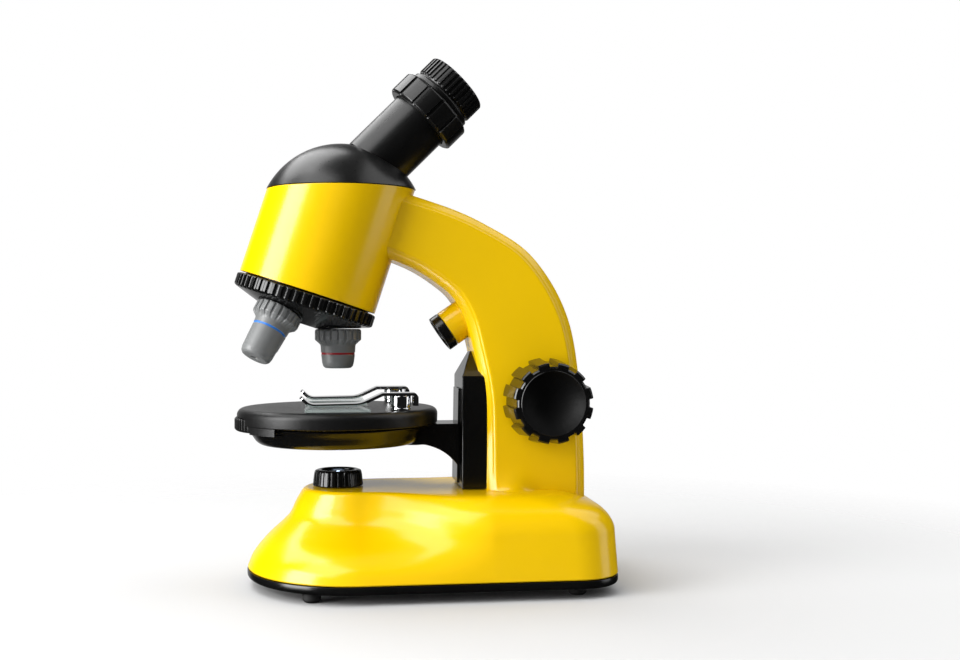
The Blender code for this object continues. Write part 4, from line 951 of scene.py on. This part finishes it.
# ------------ focus knobs
def make_knob(node, side):
    lug = 1.0
    bore, bore_end = SHAFT_RADIUS + 0.1, SHAFT_HALF + GAP
    profile = rounded([(0, bore_end), (bore, bore_end), (bore, KNOB_INNER),
                       (KNOB_BASE_RADIUS - 2.5, KNOB_INNER), (KNOB_BASE_RADIUS - 0.2, KNOB_INNER, lug),
                       (KNOB_BASE_RADIUS, KNOB_INNER + 0.8, lug), (KNOB_FACE_RADIUS, KNOB_OUTER - 0.6, lug),
                       (KNOB_FACE_RADIUS - 0.7, KNOB_OUTER, lug)], 0.4, closed=False)
    lip = [(KNOB_DISH_RADIUS + 0.5, KNOB_OUTER), (KNOB_DISH_RADIUS + 0.15, KNOB_OUTER - 0.12)]
    knob = turned([*profile, *lip, *dish_line()], 12, KNOB_LUG, 1.5)
    made = piece(node, knob, "black_gloss", axis_place(SHAFT_X, 0, SHAFT_Z, (-90 * side, "X")),
                 ("black_dish",))
    for face in made.data.polygons:
        centre = face.center / MM
        if centre.xy.length < KNOB_DISH_RADIUS and centre.z > KNOB_OUTER - KNOB_DISH_DEPTH - 0.1:
            face.material_index = 1


def dish_line():
    """Arc of the knob's dish, from its rim to the middle."""
    ball = (KNOB_DISH_RADIUS ** 2 + KNOB_DISH_DEPTH ** 2) / (2 * KNOB_DISH_DEPTH)
    rim = math.degrees(math.asin(KNOB_DISH_RADIUS / ball))
    steps = 20
    line = []
    for step in range(steps + 1):
        up, radius = polar(ball, rim * (1 - step / steps))
        line.append((radius, KNOB_OUTER - KNOB_DISH_DEPTH + ball - up))
    return line


def make_focus():
    make_knob("focus_knob_left", -1)
    make_knob("focus_knob_right", 1)
    profile = [(0, SHAFT_HALF), (SHAFT_RADIUS, SHAFT_HALF), (SHAFT_RADIUS, -SHAFT_HALF), (0, -SHAFT_HALF)]
    place = axis_place(SHAFT_X, 0, SHAFT_Z, (90, "X"))
    piece("focus_shaft", solid_turned(profile, 0.4, 40), "steel", place)


# ------------ head and turret
def make_head():
    tilt = math.radians(TURRET_TILT)
    around, wall, floor, bolt_hole = 160, 2.2, 2.6, 3.3

    def height(radius, angle, share):
        """Share of the way up from the square foot to the top, which is level with the table."""
        top = ((HEAD_TOP - PIVOT.z) + radius * math.cos(angle) * math.sin(tilt)) / math.cos(tilt)
        return HEAD_FOOT + (top - HEAD_FOOT) * share

    rows = ((0.35, 0.0, 0.0), (0.1, 0.0, 0.1), (0.0, 0.0, 0.4), (0.0, 0.25, 0.0), (0.0, 0.5, 0.0),
            (0.0, 0.75, 0.0), (0.0, 1.0, -0.4), (0.12, 1.0, -0.1), (0.4, 1.0, 0.0), (wall, 1.0, 0.0),
            (wall, 0.0, floor))
    rings = []
    for inset, share, lift in rows:
        radius = HEAD_RADIUS - inset
        ring = []
        for step in range(around):
            angle = math.tau * step / around
            ring.append((radius * math.cos(angle), radius * math.sin(angle),
                         height(radius, angle, share) + lift))
        rings.append(ring)
    for z in (HEAD_FOOT + floor, HEAD_FOOT):
        rings.append([(*polar(bolt_hole, 360.0 * step / around), z) for step in range(around)])
    piece("head_shell", skin(rings, closed=True), "yellow_shell", TURRET_PLACE)


def dome_line(radius):
    """Arc of the dome from its rim to the crown."""
    rim = math.degrees(math.asin((HEAD_TOP + GAP - DOME_CENTRE[2]) / radius))
    steps = 28
    return [*[polar(radius, rim + (90.0 - rim) * step / steps) for step in range(steps)], (0.0, radius)]


def make_dome():
    dome = turned([*reversed(dome_line(DOME_RADIUS)), *dome_line(DOME_RADIUS - 2.2)], 144)
    moved(dome, Matrix.Translation(DOME_CENTRE) @ Matrix.Diagonal((1.0, DOME_FLATTEN, 1.0, 1.0)))
    along_tube = Matrix.Translation((0, 0, PIVOT.z)) @ turn(EYEPIECE_TILT, "Y")
    hole = moved(rod(TUBE_RADIUS + 0.45, 10, 60, 96), along_tube)
    piece("dome", carve(dome, hole), "black_satin")


def make_turret():
    slope = math.tan(math.radians(TURRET_TILT))
    tip = TURRET_FOOT - (TURRET_RADIUS - 0.8 - 6.2) * slope
    seat, bore, recess = 26.4, 3.3, 5.6
    disc = rounded([(bore, TURRET_TOP + 1.6), (seat, TURRET_TOP + 1.6), (seat, TURRET_TOP),
                    (TURRET_RADIUS - 1.2, TURRET_TOP), (TURRET_RADIUS, TURRET_TOP - 0.5, 1.0),
                    (TURRET_RADIUS, TURRET_FOOT + 0.6, 1.0), (TURRET_RADIUS - 1.4, TURRET_FOOT - 0.2),
                    (9.0, tip + 0.4), (recess, tip + 0.5), (recess, tip + 3), (bore, tip + 3)], 0.5, 4)
    bosses = [turret_boss(around) for _, around, _, _ in OBJECTIVES]
    piece("turret", together(turned(disc, 54, FINE_RIB, 0.75), *bosses), "black_gloss", TURRET_PLACE)
    head = tip + 0.9
    bolt = solid_turned([(0, -36.0), (3.0, -36.0), (3.0, head + 0.9), (5.2, head + 0.9), (5.2, head),
                         (0, head)], 0.4, 48)
    piece("turret_bolt", bolt, "black_gloss", TURRET_PLACE)


def turret_boss(around):
    """The short round boss of the turret that one objective screws into."""
    radius, root, face = COLLAR_RADIUS + 0.3, -48.0, GAP - SEAT_DEPTH
    boss = solid_turned([(0, root), (radius, root), (radius, face), (0, face)], 0.5, 64)
    return moved(boss, turn(around, "Z") @ turn(-TURRET_TILT, "Y"))


def make_objectives():
    for name, around, reach, ring_depth in OBJECTIVES:
        collar = rounded([(0, -SEAT_DEPTH), (COLLAR_RADIUS - 0.6, -SEAT_DEPTH),
                          (COLLAR_RADIUS, -SEAT_DEPTH - 0.6, 1.0), (COLLAR_RADIUS, -58.4, 1.0),
                          (COLLAR_RADIUS - 1.1, -59.3, 0.6), (7.4, -60.4)], 0.35, closed=False)
        band = -ring_depth
        barrel = [(7.25, -61.0), (7.1, band + 0.5), (6.9, band + 0.4), (6.9, band - 0.4),
                  (7.0, band - 0.5), (6.6, 2.4 - reach), (6.2, 0.9 - reach), (5.4, 0.1 - reach),
                  (4.6, -reach), (1.5, -reach), (1.2, 0.5 - reach), (1.2, 3.0 - reach), (0, 3.0 - reach)]
        body = turned([*collar, *rounded(barrel, 0.25, 2, closed=False)], 20, GRIP_RIB, 0.7)
        made = piece(f"objective_{name}", body, "objective_grey", seat_place(around),
                     (f"ring_{name}",))
        for face in made.data.polygons:
            if abs(face.center.z / MM - band) < 0.42:
                face.material_index = 1
        lens = turned(smooth_through(((0, 1.6 - reach), (0.6, 1.65 - reach), (1.15, 1.9 - reach),
                                      (1.15, 2.9 - reach), (0, 2.9 - reach)), 3), 32)
        piece(f"objective_lens_{name}", lens, "lens_dark", seat_place(around))


# ------------ eyepiece
def make_eyepiece():
    low, high = TUBE_SPAN
    tube = rounded([(TUBE_BORE, high), (TUBE_RADIUS, high), (TUBE_RADIUS, low), (TUBE_BORE, low)], 0.3)
    piece("eyepiece_tube", turned(tube, 96), "black_satin", EYEPIECE_PLACE)
    low, high = ZOOM_SPAN
    bore = TUBE_RADIUS + GAP
    collar = rounded([(bore, high), (ZOOM_RADIUS - 1.0, high), (ZOOM_RADIUS, high - 0.8, 1.0),
                      (ZOOM_RADIUS, low + 0.8, 1.0), (ZOOM_RADIUS - 1.0, low), (bore, low)], 0.4, 4)
    piece("zoom_collar", turned(collar, 13, WIDE_RIB, 0.8), "black_satin", EYEPIECE_PLACE)
    foot, top = CAP_SPAN
    cap = rounded([(8.0, top - 2.4), (11.4, top - 0.2), (12.6, top), (CAP_RADIUS - 0.7, top),
                   (CAP_RADIUS, top - 0.7, 1.0), (CAP_RADIUS, foot + 0.6, 1.0), (CAP_RADIUS - 0.9, foot),
                   (NECK_RADIUS - 1.5, foot - 0.6), (NECK_RADIUS, foot - 1.2), (NECK_RADIUS, high + GAP),
                   (TUBE_BORE - GAP, high + GAP), (TUBE_BORE - GAP, 34.0), (9.6, 34.0), (9.6, top - 5.0),
                   (8.0, top - 5.0)], 0.35, 3)
    piece("eyepiece_cap", turned(cap, 38, FINE_RIB, 0.7), "black_satin", EYEPIECE_PLACE)
    eye = smooth_through(((0, top - 5.4), (4.0, top - 5.6), (7.9, top - 6.3), (7.9, top - 7.6),
                          (0, top - 7.6)), 4)
    piece("eye_lens", turned(eye, 48), "lens_dark", EYEPIECE_PLACE)


# ------------ inner parts, floor, light, camera
def finish_inner_nodes():
    """The frame's own solids that no finer piece replaces get their finish."""
    for name, node in frame["nodes"].items():
        if not node.hide_render:
            node.material_slots[0].material = FINISH[SLOT_OF[name]]


def make_floor():
    bm = bmesh.new()
    bmesh.ops.create_circle(bm, cap_ends=True, segments=96, radius=900.0)
    floor = placed("floor", mesh_of(bm, "floor"))
    made = Nodes("floor")
    pale = made.mixed(made.mapped(made.noise(300.0), 0.0, 1.0), (0.51, 0.51, 0.51), (0.53, 0.53, 0.53))
    made.link(pale, made.shader.inputs["Base Color"])
    made.shader.inputs["Roughness"].default_value = 0.9
    made.shader.inputs["Specular IOR Level"].default_value = 0.1
    reach = made.add("ShaderNodeVectorMath", operation="LENGTH")
    made.link(made.place, reach.inputs[0])
    made.link(made.mapped(reach.outputs["Value"], 1.0, 0.0, 0.15, 0.38), made.shader.inputs["Alpha"])
    floor.data.materials.append(made.material)
    floor.visible_glossy = False


def add_softbox(name, place, size, watts):
    """Area light that faces the middle of the microscope."""
    light = bpy.data.lights.new(name, "AREA")
    light.shape = "RECTANGLE"
    light.size, light.size_y = size
    light.energy = watts
    lamp = placed(name, light)
    lamp.location = place
    lamp.rotation_euler = (Vector((0.0, 0.0, 0.11)) - Vector(place)).to_track_quat("-Z", "Y").to_euler()
    return lamp


def make_light():
    for name, place, size, watts in (("key", (-0.98, -0.37, 0.28), (0.62, 0.9), 19.0),
                                     ("top", (-0.45, 0.45, 1.05), (0.9, 0.8), 10.0),
                                     ("fill_right", (1.0, -0.2, 0.3), (0.5, 0.9), 2.2),
                                     ("crown", (-0.65, -0.45, 1.0), (0.9, 0.9), 8.0),
                                     ("crest", (0.7, 0.0, 1.0), (1.2, 0.8), 4.6)):
        add_softbox(name, place, size, watts)
    for name, place, width, watts in (("overhead", (0.0, 0.25, 1.5), 1.2, 10.0),
                                      ("front", (-0.2, -1.3, 0.6), 1.0, 1.6)):
        add_softbox(name, place, (width, width), watts).visible_glossy = False
    make_world()


def make_world():
    """White to the eye, dim to the object, with a white wall behind it for grazing reflections."""
    world = bpy.data.worlds.new("studio")
    bpy.context.scene.world = world
    world.use_nodes = True
    tree = world.node_tree

    def add(kind, **inputs):
        node = tree.nodes.new(kind)
        for key, value in inputs.items():
            node.inputs[key].default_value = value
        return node

    def blend(factor, first, second):
        mix = tree.nodes.new("ShaderNodeMixShader")
        tree.links.new(factor, mix.inputs[0])
        tree.links.new(first, mix.inputs[1])
        tree.links.new(second, mix.inputs[2])
        return mix.outputs[0]

    rays = add("ShaderNodeLightPath")
    place = add("ShaderNodeTexCoord")
    axes = add("ShaderNodeSeparateXYZ")
    tree.links.new(place.outputs["Generated"], axes.inputs[0])
    behind = add("ShaderNodeMapRange", **{"From Min": 0.8, "From Max": 0.97})
    tree.links.new(axes.outputs["Y"], behind.inputs["Value"])
    white, wall, dark = [add("ShaderNodeBackground", Color=(1.0, 1.0, 1.0, 1.0), Strength=strength)
                         for strength in (1.0, 0.6, 0.01)]
    room = add("ShaderNodeBackground", Color=(0.95, 0.97, 1.0, 1.0), Strength=0.12)
    glossy = blend(behind.outputs["Result"], dark.outputs[0], wall.outputs[0])
    unseen = blend(rays.outputs["Is Glossy Ray"], room.outputs[0], glossy)
    seen = blend(rays.outputs["Is Camera Ray"], unseen, white.outputs[0])
    tree.links.new(seen, tree.nodes["World Output"].inputs["Surface"])


def make_camera():
    camera = bpy.data.cameras.new("camera")
    camera.sensor_width = 36.0
    camera.lens = 46.875
    camera.shift_y = -0.0125
    camera.clip_start = 0.01
    holder = placed("camera", camera)
    holder.location = ((OPTICAL_X - 11.2) * MM, -0.5254, 0.110)
    holder.rotation_euler = (math.radians(90), 0, math.radians(-7.7))
    bpy.context.scene.camera = holder
    bpy.context.scene.view_settings.view_transform = "Standard"


def main():
    for make in (make_base_shell, make_base_plate, make_feet, make_door, make_deck_lamp, make_switch,
                 make_arm, make_side_lamp, make_column, make_stage, make_bowl, make_filter_wheel,
                 make_clips, make_slide, make_carriage, make_focus, make_head, make_dome, make_turret,
                 make_objectives, make_eyepiece, finish_inner_nodes):
        make()
    make_floor()
    make_light()
    make_camera()


main()
